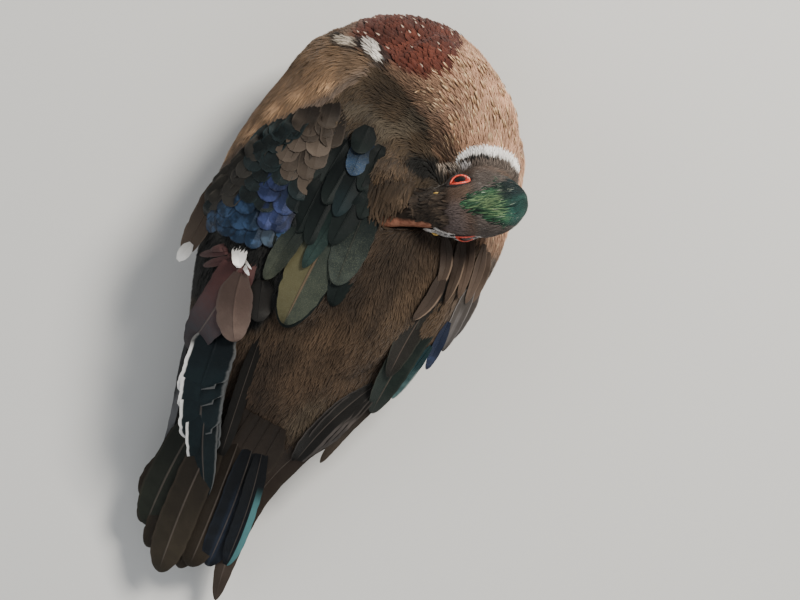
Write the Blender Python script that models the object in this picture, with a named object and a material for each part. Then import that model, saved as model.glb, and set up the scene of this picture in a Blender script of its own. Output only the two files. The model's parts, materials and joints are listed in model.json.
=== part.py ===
"""A male wood duck at rest, with its head laid back over its shoulder, as the solids of a still model.

+Y runs from the tail to the breast, +X to the bird's right and +Z up, in metres. The bird lies on its
belly on z = 0. It is modelled round the middle of its body, and an empty then carries every solid so
that the origin is under the middle of the whole bird.
"""

import math

import bmesh
import bpy
from mathutils import Matrix, Vector

# Clearance between neighbouring solids
GAP = 0.0003

# The body: along Y, then the section's centre, half width, widest height, top and bottom
BODY_STATIONS = (
    (-0.195, -0.0070, 0.0310, 0.032, 0.039, 0.028),
    (-0.160, -0.0070, 0.0290, 0.038, 0.050, 0.027),
    (-0.132, -0.0070, 0.0350, 0.042, 0.062, 0.020),
    (-0.097, -0.0065, 0.0515, 0.044, 0.079, 0.008),
    (-0.052, -0.0065, 0.0690, 0.045, 0.096, -0.001),
    (-0.015, -0.0050, 0.0755, 0.047, 0.103, -0.003),
    (0.020, -0.0040, 0.0760, 0.048, 0.104, -0.003),
    (0.055, -0.0040, 0.0700, 0.048, 0.100, -0.002),
)
# Under 1 makes the section squarer than an ellipse
SECTION_POWER = 0.83
BREAST_START = 0.055
BREAST_LENGTH = 0.068
BREAST_ROUNDNESS = 1.9
BREAST_POINT = Vector((-0.009, 0.123, 0.050))
RUMP_START = -0.118
RUMP_LENGTH = 0.042
RUMP_POINT = Vector((-0.007, -0.160, 0.040))
TRUNK_SIDES = 28

# The head's own frame: the origin between the eyes, +X to the bill, +Y to its left, +Z to the crown
HEAD_CENTRE = Vector((0.0444, 0.0345, 0.110))
HEAD_HEADING = 212.9
HEAD_PITCH = -5.0
HEAD_ROLL = 12.0
# Along the head: half width, top, bottom
HEAD_STATIONS = (
    (-0.0340, 0.0045, 0.0020, -0.0050),
    (-0.0310, 0.0090, 0.0060, -0.0100),
    (-0.0240, 0.0145, 0.0120, -0.0155),
    (-0.0140, 0.0172, 0.0160, -0.0188),
    (-0.0030, 0.0164, 0.0172, -0.0185),
    (0.0070, 0.0145, 0.0155, -0.0165),
    (0.0140, 0.0122, 0.0118, -0.0135),
    (0.0180, 0.0106, 0.0088, -0.0118),
)
HEAD_SIDES = 20
EYE_RADIUS = 0.0056
EYE_SIDEWAYS = 0.0118
EYE_HEIGHT = 0.0015

# Along the bill from its base, half width, culmen, tomium and chin, in the head's frame
BILL_BASE = 0.0183
BILL_STATIONS = (
    (0.000, 0.0098, 0.0076, -0.0060, -0.0106),
    (0.006, 0.0088, 0.0048, -0.0064, -0.0103),
    (0.014, 0.0080, 0.0012, -0.0068, -0.0098),
    (0.023, 0.0078, -0.0022, -0.0070, -0.0092),
    (0.030, 0.0066, -0.0042, -0.0072, -0.0088),
    (0.0335, 0.0035, -0.0054, -0.0074, -0.0084),
)
BILL_SIDES = 12

# Points on the neck's middle line, each with its radius, from the breast to the head
NECK_POINTS = (
    (-0.0040, 0.0800, 0.062, 0.0380),
    (0.0120, 0.0790, 0.072, 0.0345),
    (0.0270, 0.0735, 0.080, 0.0300),
    (0.0400, 0.0620, 0.086, 0.0236),
    (0.0520, 0.0480, 0.095, 0.0180),
)
NECK_PIECES = ("neck_lower", "neck_middle", "neck_upper")
NECK_SIDES = 18
NECK_RINGS = 5

# Feather tracts that lie on the body. Each row is a place along Y, then the tract's two edges as degrees
# from the middle of the back round to its own side, in order from front to back
PLATE_COLUMNS = 5
PLATE_EDGE = 0.0015
# Depth to which a plate is sunk in the body before the body is cut out of it
PLATE_SINK = 0.0020
LEFT_FLANK_ROWS = (
    (0.092, 14, 88),
    (0.075, 20, 104),
    (0.050, 32, 112),
    (0.020, 52, 115),
    (-0.008, 74, 115),
    (-0.034, 96, 110),
)
RIGHT_FLANK_ROWS = (
    (0.086, 78, 100),
    (0.068, 76, 118),
    (0.044, 78, 122),
    (0.016, 84, 120),
    (-0.010, 92, 118),
    (-0.034, 96, 112),
)
LEFT_TRACTS = {
    "wing_left_scapulars": (
        (0.040, 2, 8),
        (0.028, -1, 12),
        (0.000, -7, 14),
        (-0.025, -9, 14),
        (-0.045, -6, 13),
        (-0.058, -2, 9),
        (-0.064, 0, 4),
    ),
    "wing_left_coverts": (
        (0.045, 24, 31),
        (0.020, 16, 50),
        (-0.005, 16, 72),
        (-0.022, 16, 88),
        (-0.036, 15, 62),
        (-0.048, 15, 34),
        (-0.058, 12, 18),
    ),
}
RIGHT_TRACTS = {
    "wing_right_scapulars": (
        (0.030, 18, 40),
        (0.010, 14, 46),
        (-0.020, 13, 47),
        (-0.048, 14, 46),
        (-0.066, 20, 42),
        (-0.074, 28, 36),
    ),
    "wing_right_coverts": (
        (0.034, 46, 54),
        (0.015, 49, 70),
        (-0.005, 50, 88),
        (-0.030, 50, 90),
        (-0.044, 50, 84),
    ),
}
# The fold of shoulder feathers over the bill: its middle on the back, its half sizes and how far its
# long side is turned from the body's own length
FOLD_CENTRE = Vector((0.0045, 0.0270, 0.0985))
FOLD_HALF = Vector((0.0125, 0.0180, 0.0125))
FOLD_TURN = 38.0
TRACT_THICKNESS = {"flank": 0.0050, "scapulars": 0.0048, "coverts": 0.0068}

# Fans of long wing feathers. Each row is a place along Y, then the fan's inner and outer edge across X
# and the height of each edge where no body lies under it
FANS = {
    "wing_left_tertials": (
        (-0.030, -0.044, -0.086, 0.080, 0.058),
        (-0.044, -0.030, -0.0875, 0.080, 0.057),
        (-0.060, -0.022, -0.084, 0.078, 0.056),
        (-0.078, -0.021, -0.073, 0.074, 0.055),
        (-0.092, -0.032, -0.061, 0.066, 0.054),
        (-0.103, -0.046, -0.053, 0.058, 0.053),
    ),
    "wing_left_secondaries": (
        (-0.072, -0.026, -0.060, 0.070, 0.054),
        (-0.100, -0.015, -0.052, 0.066, 0.051),
        (-0.127, -0.006, -0.046, 0.059, 0.0475),
        (-0.147, 0.004, -0.033, 0.052, 0.044),
        (-0.165, 0.002, -0.016, 0.045, 0.0415),
        (-0.175, -0.003, -0.007, 0.040, 0.0395),
    ),
    "wing_right_tertials": (
        (-0.040, 0.040, 0.076, 0.070, 0.050),
        (-0.056, 0.039, 0.0735, 0.070, 0.049),
        (-0.072, 0.041, 0.0655, 0.066, 0.049),
        (-0.084, 0.047, 0.0560, 0.062, 0.050),
    ),
    "wing_right_secondaries": (
        (-0.0855, 0.034, 0.0575, 0.060, 0.044),
        (-0.096, 0.031, 0.0530, 0.058, 0.044),
        (-0.110, 0.027, 0.0460, 0.054, 0.043),
        (-0.123, 0.022, 0.0375, 0.050, 0.042),
        (-0.134, 0.020, 0.0270, 0.045, 0.041),
    ),
}
FAN_THICKNESS = {"tertials": 0.0052, "secondaries": 0.0044}
FAN_CLEAR = 0.0010

# Folded primaries: points on the middle line, each with a half width and a half thickness
LEFT_PRIMARIES = (
    (-0.0570, -0.085, 0.0460, 0.0080, 0.0024),
    (-0.0500, -0.105, 0.0430, 0.0105, 0.0022),
    (-0.0420, -0.130, 0.0405, 0.0100, 0.0018),
    (-0.0360, -0.160, 0.0350, 0.0085, 0.0013),
    (-0.0310, -0.184, 0.0285, 0.0050, 0.0008),
)
RIGHT_PRIMARIES = (
    (0.0420, -0.098, 0.0340, 0.0070, 0.0026),
    (0.0280, -0.124, 0.0310, 0.0080, 0.0024),
    (0.0185, -0.150, 0.0290, 0.0070, 0.0018),
    (0.0190, -0.180, 0.0250, 0.0060, 0.0012),
    (0.0215, -0.208, 0.0200, 0.0045, 0.0009),
    (0.0245, -0.224, 0.0170, 0.0015, 0.0006),
)
# Tail: along Y, then centre, half width, middle height, half thickness and droop of its edges
TAIL_STATIONS = (
    (-0.122, -0.0095, 0.0240, 0.0370, 0.0110, 0.002),
    (-0.142, -0.0140, 0.0290, 0.0345, 0.0075, 0.004),
    (-0.165, -0.0150, 0.0320, 0.0310, 0.0045, 0.006),
    (-0.190, -0.0085, 0.0295, 0.0265, 0.0028, 0.006),
    (-0.212, -0.0025, 0.0215, 0.0220, 0.0016, 0.004),
    (-0.226, -0.0010, 0.0100, 0.0190, 0.0008, 0.001),
)
TAIL_SIDES = 16

# Feet lie flat beside the belly. Toes are (degrees out from ahead, length)
TOE_JOINT = Vector((0.047, 0.006, 0.0))
TARSUS_LENGTH = 0.034
TARSUS_TURN = 8.0
TARSUS_RADIUS = 0.0030
TOES = ((-14.0, 0.037), (9.0, 0.046), (32.0, 0.040))
TOE_RADIUS = 0.0022
CLAW_LENGTH = 0.006
HIND_TOE_LENGTH = 0.012
WEB_THICKNESS = 0.0012
WEB_SCALLOP = 0.14
TOE_SPREAD = 3.2
FOOT_ROOT = 0.0022
FOOT_STEPS = 5

SOLID_COLOURS = {
    "plumage_brown": ((0.130, 0.085, 0.060, 1.0), 0.80, 0.0),
    "plumage_dark": ((0.030, 0.025, 0.020, 1.0), 0.70, 0.0),
    "plumage_gloss": ((0.015, 0.035, 0.070, 1.0), 0.40, 0.3),
    "chestnut": ((0.160, 0.035, 0.020, 1.0), 0.70, 0.0),
    "bill_horn": ((0.220, 0.045, 0.025, 1.0), 0.35, 0.0),
    "eye_red": ((0.450, 0.030, 0.015, 1.0), 0.10, 0.0),
    "foot_skin": ((0.330, 0.210, 0.060, 1.0), 0.60, 0.0),
}


def clear_scene():
    """Takes away whatever the file holds before the bird is made."""
    for thing in list(bpy.data.objects):
        bpy.data.objects.remove(thing, do_unlink=True)


def make_collection(name):
    """A collection linked to the scene."""
    made = bpy.data.collections.new(name)
    bpy.context.scene.collection.children.link(made)
    return made


def make_material(name):
    """A plain finish from the table of colours."""
    colour, roughness, metallic = SOLID_COLOURS[name]
    material = bpy.data.materials.get(name) or bpy.data.materials.new(name)
    material.use_nodes = True
    shader = material.node_tree.nodes["Principled BSDF"]
    shader.inputs["Base Color"].default_value = colour
    shader.inputs["Roughness"].default_value = roughness
    shader.inputs["Metallic"].default_value = metallic
    return material


def read_stations(stations, at):
    """Each column of a table of stations, read on a smooth curve at a place in its first column."""
    places = [row[0] for row in stations]
    at = min(max(at, places[0]), places[-1])
    i = min(max(sum(place <= at for place in places) - 1, 0), len(places) - 2)

    def slope(k, column):
        low, high = max(k - 1, 0), min(k + 1, len(places) - 1)
        return (stations[high][column] - stations[low][column]) / (places[high] - places[low])

    span = places[i + 1] - places[i]
    t = (at - places[i]) / span
    read = []
    for column in range(1, len(stations[0])):
        start, end = stations[i][column], stations[i + 1][column]
        read.append(
            (2 * t**3 - 3 * t**2 + 1) * start
            + (t**3 - 2 * t**2 + t) * span * slope(i, column)
            + (3 * t**2 - 2 * t**3) * end
            + (t**3 - t**2) * span * slope(i + 1, column)
        )
    return read


def signed_power(value, power):
    """A power that keeps the sign."""
    return math.copysign(abs(value) ** power, value)


def body_point(along, degrees):
    """A point of the body's surface, at a place along Y and an angle from the back to the right."""
    centre, half_width, widest, top, bottom = read_stations(BODY_STATIONS, along)
    if along > BREAST_START:
        reach = min((along - BREAST_START) / BREAST_LENGTH, 1.0)
        shrink = (1 - reach**BREAST_ROUNDNESS) ** (1 / BREAST_ROUNDNESS)
        centre += (BREAST_POINT.x - centre) * reach
        half_width *= shrink
        widest += (BREAST_POINT.z - widest) * reach
        top = BREAST_POINT.z + (top - BREAST_POINT.z) * shrink
        bottom = BREAST_POINT.z + (bottom - BREAST_POINT.z) * shrink
    sine, cosine = math.sin(math.radians(degrees)), math.cos(math.radians(degrees))
    rise = top - widest if cosine >= 0 else widest - bottom
    return Vector(
        (
            centre + half_width * signed_power(sine, SECTION_POWER),
            along,
            max(widest + rise * signed_power(cosine, SECTION_POWER), 0.0),
        )
    )


def body_normal(along, degrees):
    """The outward direction of the body's surface there."""
    step, turn = 0.001, 0.5
    forward = body_point(along + step, degrees) - body_point(along - step, degrees)
    around = body_point(along, degrees + turn) - body_point(along, degrees - turn)
    return around.cross(forward).normalized()


def place_mesh(name, build, finish, smooth_degrees=50.0):
    """A bmesh as an object of the bird, with its normals facing out."""
    bmesh.ops.recalc_face_normals(build, faces=build.faces)
    mesh = bpy.data.meshes.new(name)
    build.to_mesh(mesh)
    build.free()
    mesh.shade_smooth()
    mesh.set_sharp_from_angle(angle=math.radians(smooth_degrees))
    mesh.materials.append(make_material(finish))
    made = bpy.data.objects.new(name, mesh)
    BIRD.objects.link(made)
    WHOLE[name] = mesh.copy()
    return made


def loft(name, rings, finish):
    """A closed solid through rings of the same number of points, with a fan over each end."""
    build = bmesh.new()
    rows = [[build.verts.new(point) for point in ring] for ring in rings]
    count = len(rows[0])
    for first, second in zip(rows, rows[1:]):
        for k in range(count):
            after = (k + 1) % count
            build.faces.new((first[k], first[after], second[after], second[k]))
    for row in (rows[0], rows[-1]):
        middle = build.verts.new(sum((vertex.co for vertex in row), Vector()) / count)
        for k in range(count):
            build.faces.new((row[k], row[(k + 1) % count], middle))
    return place_mesh(name, build, finish)


def plate(name, outer, inner, finish):
    """A closed thin solid between two grids of points of the same shape."""
    build = bmesh.new()
    skins = [[[build.verts.new(p) for p in row] for row in grid] for grid in (outer, inner)]
    last_row, last_column = len(outer) - 1, len(outer[0]) - 1
    for skin in skins:
        for i in range(last_row):
            for j in range(last_column):
                build.faces.new((skin[i][j], skin[i + 1][j], skin[i + 1][j + 1], skin[i][j + 1]))
    rim = [(0, j) for j in range(last_column)]
    rim += [(i, last_column) for i in range(last_row)]
    rim += [(last_row, j) for j in range(last_column, 0, -1)]
    rim += [(i, 0) for i in range(last_row, 0, -1)]
    for here, there in zip(rim, rim[1:] + rim[:1]):
        corners = [skins[0][here[0]][here[1]], skins[0][there[0]][there[1]]]
        corners += [skins[1][there[0]][there[1]], skins[1][here[0]][here[1]]]
        build.faces.new(corners)
    return place_mesh(name, build, finish)


def largest_island(build):
    """Deletes every loose part of a bmesh but the one with the most faces."""
    left, islands = set(build.faces), []
    while left:
        island, border = set(), [left.pop()]
        while border:
            face = border.pop()
            island.add(face)
            for edge in face.edges:
                for other in edge.link_faces:
                    if other in left:
                        left.discard(other)
                        border.append(other)
        islands.append(island)
    islands.sort(key=len)
    for island in islands[:-1]:
        bmesh.ops.delete(build, geom=list(island), context="FACES")


def cut_mesh(target, cutter, solver):
    """The target's mesh less the cutter, and whether it came out closed and whole."""
    cut = target.modifiers.new("cut", "BOOLEAN")
    cut.operation = "DIFFERENCE"
    cut.solver = solver
    cut.object = cutter
    bpy.context.view_layer.update()
    shape = target.evaluated_get(bpy.context.evaluated_depsgraph_get())
    mesh = bpy.data.meshes.new_from_object(shape)
    target.modifiers.clear()
    build = bmesh.new()
    build.from_mesh(mesh)
    bmesh.ops.remove_doubles(build, verts=build.verts, dist=2e-5)
    bmesh.ops.dissolve_degenerate(build, edges=build.edges, dist=1e-5)
    largest_island(build)
    if build.calc_volume(signed=True) < 0:
        bmesh.ops.reverse_faces(build, faces=build.faces)
    closed = len(build.faces) > 3 and all(edge.is_manifold for edge in build.edges)
    build.to_mesh(mesh)
    build.free()
    return mesh, closed


def carve(target, *tools):
    """Cuts the whole shape of each tool, grown by the gap, out of the target."""
    for tool in tools:
        cutter = tool.copy()
        cutter.data = WHOLE[tool.name].copy()
        grown = bmesh.new()
        grown.from_mesh(cutter.data)
        grown.normal_update()
        shifts = [v.normal * GAP * 1.2 * min(v.calc_shell_factor(), 3.0) for v in grown.verts]
        for vertex, shift in zip(grown.verts, shifts):
            vertex.co += shift
        grown.to_mesh(cutter.data)
        grown.free()
        cutter.hide_render = True
        cutter.display_type = "WIRE"
        CUTTERS.objects.link(cutter)
        mesh, closed = cut_mesh(target, cutter, "EXACT")
        if not closed:
            mesh, closed = cut_mesh(target, cutter, "MANIFOLD")
        target.data = mesh
        bpy.data.objects.remove(cutter, do_unlink=True)
    return target


def head_frame():
    """The matrix that carries the head's own frame into the bird's."""
    heading, pitch, roll = (math.radians(d) for d in (HEAD_HEADING, HEAD_PITCH, HEAD_ROLL))
    ahead = Vector(
        (math.cos(heading) * math.cos(pitch), math.sin(heading) * math.cos(pitch), math.sin(pitch))
    )
    level_left = Vector((-ahead.y, ahead.x, 0)).normalized()
    level_up = ahead.cross(level_left)
    up = level_up * math.cos(roll) + level_left * math.sin(roll)
    left = up.cross(ahead)
    turned = Matrix((ahead, left, up)).transposed().to_4x4()
    return Matrix.Translation(HEAD_CENTRE) @ turned


def oval(half_width, top, bottom, sides):
    """Sideways and upward offsets round an oval whose top and bottom differ."""
    middle, half_height = (top + bottom) / 2, (top - bottom) / 2
    turns = [2 * math.pi * k / sides for k in range(sides)]
    return [(half_width * math.sin(t), middle + half_height * math.cos(t)) for t in turns]


def make_trunk():
    """Breast, back, belly and rump in one."""
    rump = [RUMP_START - RUMP_LENGTH * math.sin(math.radians(d)) for d in (84, 68, 50, 30)]
    middle = [RUMP_START + (BREAST_START - RUMP_START) * k / 11 for k in range(12)]
    breast = [BREAST_START + BREAST_LENGTH * math.sin(math.radians(d)) for d in (14, 28, 42, 56, 70, 83)]
    rings = []
    for along in rump + middle + breast:
        ring = [body_point(along, 360 * k / TRUNK_SIDES) for k in range(TRUNK_SIDES)]
        if along < RUMP_START:
            reach = (RUMP_START - along) / RUMP_LENGTH
            shrink = math.sqrt(1 - reach**2)
            pole = Vector((RUMP_POINT.x, along, RUMP_POINT.z))
            ring = [pole + (point - pole) * shrink for point in ring]
        rings.append(ring)
    return loft("trunk", rings, "plumage_dark")


def make_head():
    """The feathered head, from the bill's base to the end of the short crest."""
    frame = head_frame()
    places = [-0.0342, -0.0325, -0.029, -0.024, -0.018, -0.012, -0.006, 0.0, 0.005, 0.010, 0.0145, 0.018]
    rings = []
    for along in places:
        half_width, top, bottom = read_stations(HEAD_STATIONS, along)
        outline = oval(half_width, top, bottom, HEAD_SIDES)
        rings.append([frame @ Vector((along, side, height)) for side, height in outline])
    return loft("head", rings, "plumage_dark")


def make_bill():
    """The two halves of the closed bill."""
    frame = head_frame()
    halves = []
    for name, top_column, bottom_column in (("bill_upper", 1, 2), ("bill_lower", 2, 3)):
        rings = []
        for along in (0.0, 0.004, 0.009, 0.015, 0.021, 0.026, 0.030, 0.0325, 0.0335):
            row = read_stations(BILL_STATIONS, along)
            half_width, top, bottom = row[0], row[top_column], row[bottom_column]
            if name == "bill_upper":
                half = [math.pi * k / (BILL_SIDES - 1) for k in range(BILL_SIDES)]
                outline = [(half_width * math.cos(t), bottom + (top - bottom) * math.sin(t)) for t in half]
            else:
                inset = half_width * 0.9
                half = [math.pi * k / (BILL_SIDES - 1) for k in range(BILL_SIDES)]
                lip = top - GAP
                outline = [(inset * math.cos(t), lip - (lip - bottom) * math.sin(t)) for t in half]
            rings.append([frame @ Vector((BILL_BASE + along, s, h)) for s, h in outline])
        halves.append(loft(name, rings, "bill_horn"))
    return halves


def make_eyes():
    """A ball in each side of the head."""
    frame = head_frame()
    eyes = []
    for name, side in (("eye_left", 1), ("eye_right", -1)):
        build = bmesh.new()
        bmesh.ops.create_uvsphere(build, u_segments=14, v_segments=8, radius=EYE_RADIUS)
        centre = frame @ Vector((0.0, side * EYE_SIDEWAYS, EYE_HEIGHT))
        bmesh.ops.translate(build, verts=build.verts, vec=centre)
        eyes.append(place_mesh(name, build, "eye_red"))
    return eyes


def neck_ring(share):
    """A ring round the neck's middle line, at a share of its length."""
    stations = [(i / (len(NECK_POINTS) - 1), *point) for i, point in enumerate(NECK_POINTS)]
    x, y, z, radius = read_stations(stations, share)
    ahead = Vector(read_stations(stations, min(share + 0.01, 1.0))[:3])
    behind = Vector(read_stations(stations, max(share - 0.01, 0.0))[:3])
    along = (ahead - behind).normalized()
    level = along.cross(Vector((0, 0, 1))).normalized()
    upward = level.cross(along)
    turns = [2 * math.pi * k / NECK_SIDES for k in range(NECK_SIDES)]
    middle = Vector((x, y, z))
    return [middle + (level * math.sin(t) + upward * math.cos(t)) * radius for t in turns]


def make_neck():
    """The folded neck in a few lengths."""
    total = sum(
        (Vector(b[:3]) - Vector(a[:3])).length for a, b in zip(NECK_POINTS, NECK_POINTS[1:])
    )
    clearance = 1.5 * GAP / total
    pieces = []
    for number, name in enumerate(NECK_PIECES):
        start = number / len(NECK_PIECES) + (clearance if number else 0.0)
        end = (number + 1) / len(NECK_PIECES)
        shares = [start + (end - start) * k / (NECK_RINGS - 1) for k in range(NECK_RINGS)]
        pieces.append(loft(name, [neck_ring(share) for share in shares], "plumage_brown"))
    return pieces


def make_tract(name, rows, finish):
    """A feather tract as a thin plate that follows the body, thinner towards its edges."""
    side = 1 if "right" in name else -1
    thickness = next(size for word, size in TRACT_THICKNESS.items() if word in name)
    stations = sorted(rows)
    steps = 2 * (len(rows) - 1)
    outer, inner = [], []
    for i in range(steps + 1):
        v = i / steps
        along = rows[0][0] + (rows[-1][0] - rows[0][0]) * v
        first, last = read_stations(stations, along)
        outer_row, inner_row = [], []
        for j in range(PLATE_COLUMNS + 1):
            u = j / PLATE_COLUMNS
            degrees = side * (first + (last - first) * u)
            point, outward = body_point(along, degrees), body_normal(along, degrees)
            inside = 0 < i < steps and 0 < j < PLATE_COLUMNS
            fullness = (math.sin(math.pi * u) * math.sin(math.pi * v)) ** 0.35 if inside else 0.0
            inner_row.append(point - outward * PLATE_SINK)
            outer_row.append(point + outward * (PLATE_EDGE + (thickness - PLATE_EDGE) * fullness))
        outer.append(outer_row)
        inner.append(inner_row)
    return plate(name, outer, inner, finish)


def body_height(x, along):
    """The height of the body's upper side over a point, down to its widest line beyond the body."""
    centre, half_width, widest, top, bottom = read_stations(BODY_STATIONS, along)
    if along < RUMP_START:
        reach = min((RUMP_START - along) / RUMP_LENGTH, 1.0)
        shrink = math.sqrt(1 - reach**2)
        half_width *= shrink
        top = RUMP_POINT.z + (top - RUMP_POINT.z) * shrink
    sine = min(abs(x - centre) / max(half_width, 1e-4), 1.0) ** (1 / SECTION_POWER)
    return widest + (top - widest) * math.sqrt(1 - sine**2) ** SECTION_POWER


def make_fold():
    """The loose shoulder feathers that lie over the right side of the bill."""
    build = bmesh.new()
    bmesh.ops.create_uvsphere(build, u_segments=20, v_segments=12, radius=1.0)
    turned = Matrix.Rotation(math.radians(FOLD_TURN), 4, "Z")
    bmesh.ops.transform(build, verts=build.verts, matrix=turned @ Matrix.Diagonal((*FOLD_HALF, 1.0)))
    bmesh.ops.translate(build, verts=build.verts, vec=FOLD_CENTRE)
    return place_mesh("mantle_fold", build, "plumage_dark")


def make_fan(name, rows, finish):
    """Long wing feathers as a thin plate that rides on the body and stands free beyond it."""
    thickness = next(size for word, size in FAN_THICKNESS.items() if word in name)
    steps = 2 * (len(rows) - 1)
    outer, inner = [], []
    for i in range(steps + 1):
        along = rows[0][0] + (rows[-1][0] - rows[0][0]) * i / steps
        x_in, x_out, z_in, z_out = read_stations(sorted(rows), along)
        outer_row, inner_row = [], []
        for j in range(PLATE_COLUMNS + 1):
            u = j / PLATE_COLUMNS
            x, free = x_in + (x_out - x_in) * u, z_in + (z_out - z_in) * u**1.6
            base = max(free, body_height(x, along) + FAN_CLEAR) if i > 1 else free
            inside = 0 < i < steps and 0 < j < PLATE_COLUMNS
            full = PLATE_EDGE + ((thickness - PLATE_EDGE) * 0.9 if inside else 0.0)
            outer_row.append(Vector((x, along, base + full)))
            inner_row.append(Vector((x, along, base)))
        outer.append(outer_row)
        inner.append(inner_row)
    return plate(name, outer, inner, finish)


def make_blade(name, stations, finish):
    """A folded bunch of primaries: a flat tapering bar along a middle line."""
    rings = []
    for i, (x, y, z, half_width, half_thickness) in enumerate(stations):
        before, after = stations[max(i - 1, 0)], stations[min(i + 1, len(stations) - 1)]
        along = (Vector(after[:3]) - Vector(before[:3])).normalized()
        across = along.cross(Vector((0, 0, 1))).normalized()
        upward = across.cross(along)
        outline = oval(half_width, half_thickness, -half_thickness, 10)
        rings.append([Vector((x, y, z)) + across * s + upward * h for s, h in outline])
    return loft(name, rings, finish)


def make_tail():
    """The spread tail, a little to the bird's left."""
    rings = []
    first, last = TAIL_STATIONS[-1][0], TAIL_STATIONS[0][0]
    for k in range(11):
        along = last + (first - last) * k / 10
        centre, half_width, middle, half_thickness, droop = read_stations(sorted(TAIL_STATIONS), along)
        ring = []
        for side, height in oval(half_width, half_thickness, -half_thickness, TAIL_SIDES):
            share = side / half_width
            ring.append(Vector((centre + side, along, middle + height - droop * share**2)))
        rings.append(ring)
    return loft("tail", rings, "plumage_dark")


def tapered_bar(start, end, first_radius, last_radius, sides=8):
    """A bar between two points that lies on the floor with a flat underside."""
    along = (end - start).normalized()
    across = along.cross(Vector((0, 0, 1))).normalized()
    upward = across.cross(along)
    rings = []
    for share in (0.0, 0.5, 1.0):
        radius = first_radius + (last_radius - first_radius) * share
        middle = start.lerp(end, share) + Vector((0, 0, radius * 0.8))
        turns = [2 * math.pi * (k + 0.5) / sides for k in range(sides)]
        ring = [middle + across * math.sin(t) * radius + upward * math.cos(t) * radius for t in turns]
        rings.append([Vector((p.x, p.y, max(p.z, 0.0))) for p in ring])
    return rings


def foot_reach(out):
    """How far the foot reaches from the joint in a direction: the toes, and the web's scallops between."""
    for (first, first_length), (last, last_length) in zip(TOES, TOES[1:]):
        if first <= out <= last:
            share = (out - first) / (last - first)
            straight = first_length + (last_length - first_length) * share
            return straight * (1 - WEB_SCALLOP * math.sin(math.pi * share))
    return min(TOES, key=lambda toe: abs(toe[0] - out))[1]


def make_leg(side_name, side):
    """The tarsus, the hind toe and the webbed foot, flat on the floor beside the belly."""
    joint = Vector((TOE_JOINT.x * side, TOE_JOINT.y, 0.0))
    back = math.radians(TARSUS_TURN)
    heel = joint - Vector((math.sin(back) * side, math.cos(back), 0.0)) * TARSUS_LENGTH
    toward = (joint - heel).normalized()
    start = joint - toward * GAP * 2
    rings = tapered_bar(heel, start, TARSUS_RADIUS * 1.25, TARSUS_RADIUS)
    tarsus = loft(f"leg_{side_name}", rings, "foot_skin")
    hind_start = joint + Vector((-TARSUS_RADIUS * 1.6 * side, -0.004, 0.0))
    inward = Vector((-0.75 * side, -0.66, 0.0)) * HIND_TOE_LENGTH
    rings = tapered_bar(hind_start, hind_start + inward, TOE_RADIUS * 0.8, TOE_RADIUS * 0.4)
    hind_toe = loft(f"hind_toe_{side_name}", rings, "foot_skin")
    columns = []
    for number, (out, length) in enumerate(TOES):
        columns += [(out + spread, number) for spread in (-TOE_SPREAD, 0.0, TOE_SPREAD)]
        if number + 1 < len(TOES):
            gap = TOES[number + 1][0] - out
            columns += [(out + gap * share, -1) for share in (0.35, 0.5, 0.65)]
    upper, lower = [], []
    for out, number in columns:
        angle = math.radians(out)
        ahead = Vector((math.sin(angle) * side, math.cos(angle), 0.0))
        on_toe = any(out == toe for toe, length in TOES)
        reach = foot_reach(out) + (CLAW_LENGTH if on_toe else 0.0)
        top_row, low_row = [], []
        for step in range(FOOT_STEPS + 1):
            far = FOOT_ROOT + (reach - FOOT_ROOT) * step / FOOT_STEPS
            ridge = 0.0
            for toe, length in TOES:
                aside = math.radians(abs(out - toe)) * far / TOE_RADIUS
                taper = 1 - 0.55 * far / length
                ridge = max(ridge, 2 * TOE_RADIUS * taper * math.exp(-(aside**2)))
            point = joint + ahead * far
            low_row.append(point.copy())
            top_row.append(point + Vector((0, 0, WEB_THICKNESS + ridge)))
        upper.append(top_row)
        lower.append(low_row)
    foot = plate(f"foot_{side_name}", upper, lower, "foot_skin")
    return tarsus, hind_toe, foot


def make_bird():
    """Every solid of the bird, each cut clear of its neighbours."""
    trunk = make_trunk()
    head = make_head()
    bill = make_bill()
    eyes = make_eyes()
    neck = make_neck()
    tail = make_tail()
    legs = [*make_leg("left", -1), *make_leg("right", 1)]
    finishes = {"scapulars": "plumage_gloss", "coverts": "plumage_gloss"}
    tracts = []
    for name, rows in {**LEFT_TRACTS, **RIGHT_TRACTS}.items():
        word = name.rsplit("_", 1)[1]
        tracts.append(make_tract(name, rows, finishes.get(word, "plumage_dark")))
    fans = [make_fan(name, rows, "plumage_gloss") for name, rows in FANS.items()]
    flanks = [
        make_tract("flank_left", LEFT_FLANK_ROWS, "plumage_brown"),
        make_tract("flank_right", RIGHT_FLANK_ROWS, "plumage_brown"),
    ]
    blades = [
        make_blade("wing_left_primaries", LEFT_PRIMARIES, "plumage_dark"),
        make_blade("wing_right_primaries", RIGHT_PRIMARIES, "plumage_dark"),
    ]
    carve(head, *eyes)
    for piece in neck:
        carve(piece, trunk, head)
    carve(tail, trunk)
    fold = make_fold()
    carve(fold, trunk, head, *bill)
    over = [head, *bill, *neck, fold]
    placed = []
    for tract in tracts + fans + flanks:
        carve(tract, trunk, *[piece for piece in over + placed if boxes_meet(piece, tract)])
        placed.append(tract)
    for blade in blades:
        carve(blade, trunk, tail, *[piece for piece in placed if boxes_meet(piece, blade)])
    carve(trunk, head, *bill, *legs)
    centre_bird()


def box_of(thing):
    """The lowest and highest corner of a solid."""
    points = [vertex.co for vertex in thing.data.vertices]
    lowest = Vector(min(p[k] for p in points) for k in range(3))
    highest = Vector(max(p[k] for p in points) for k in range(3))
    return lowest, highest


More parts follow.
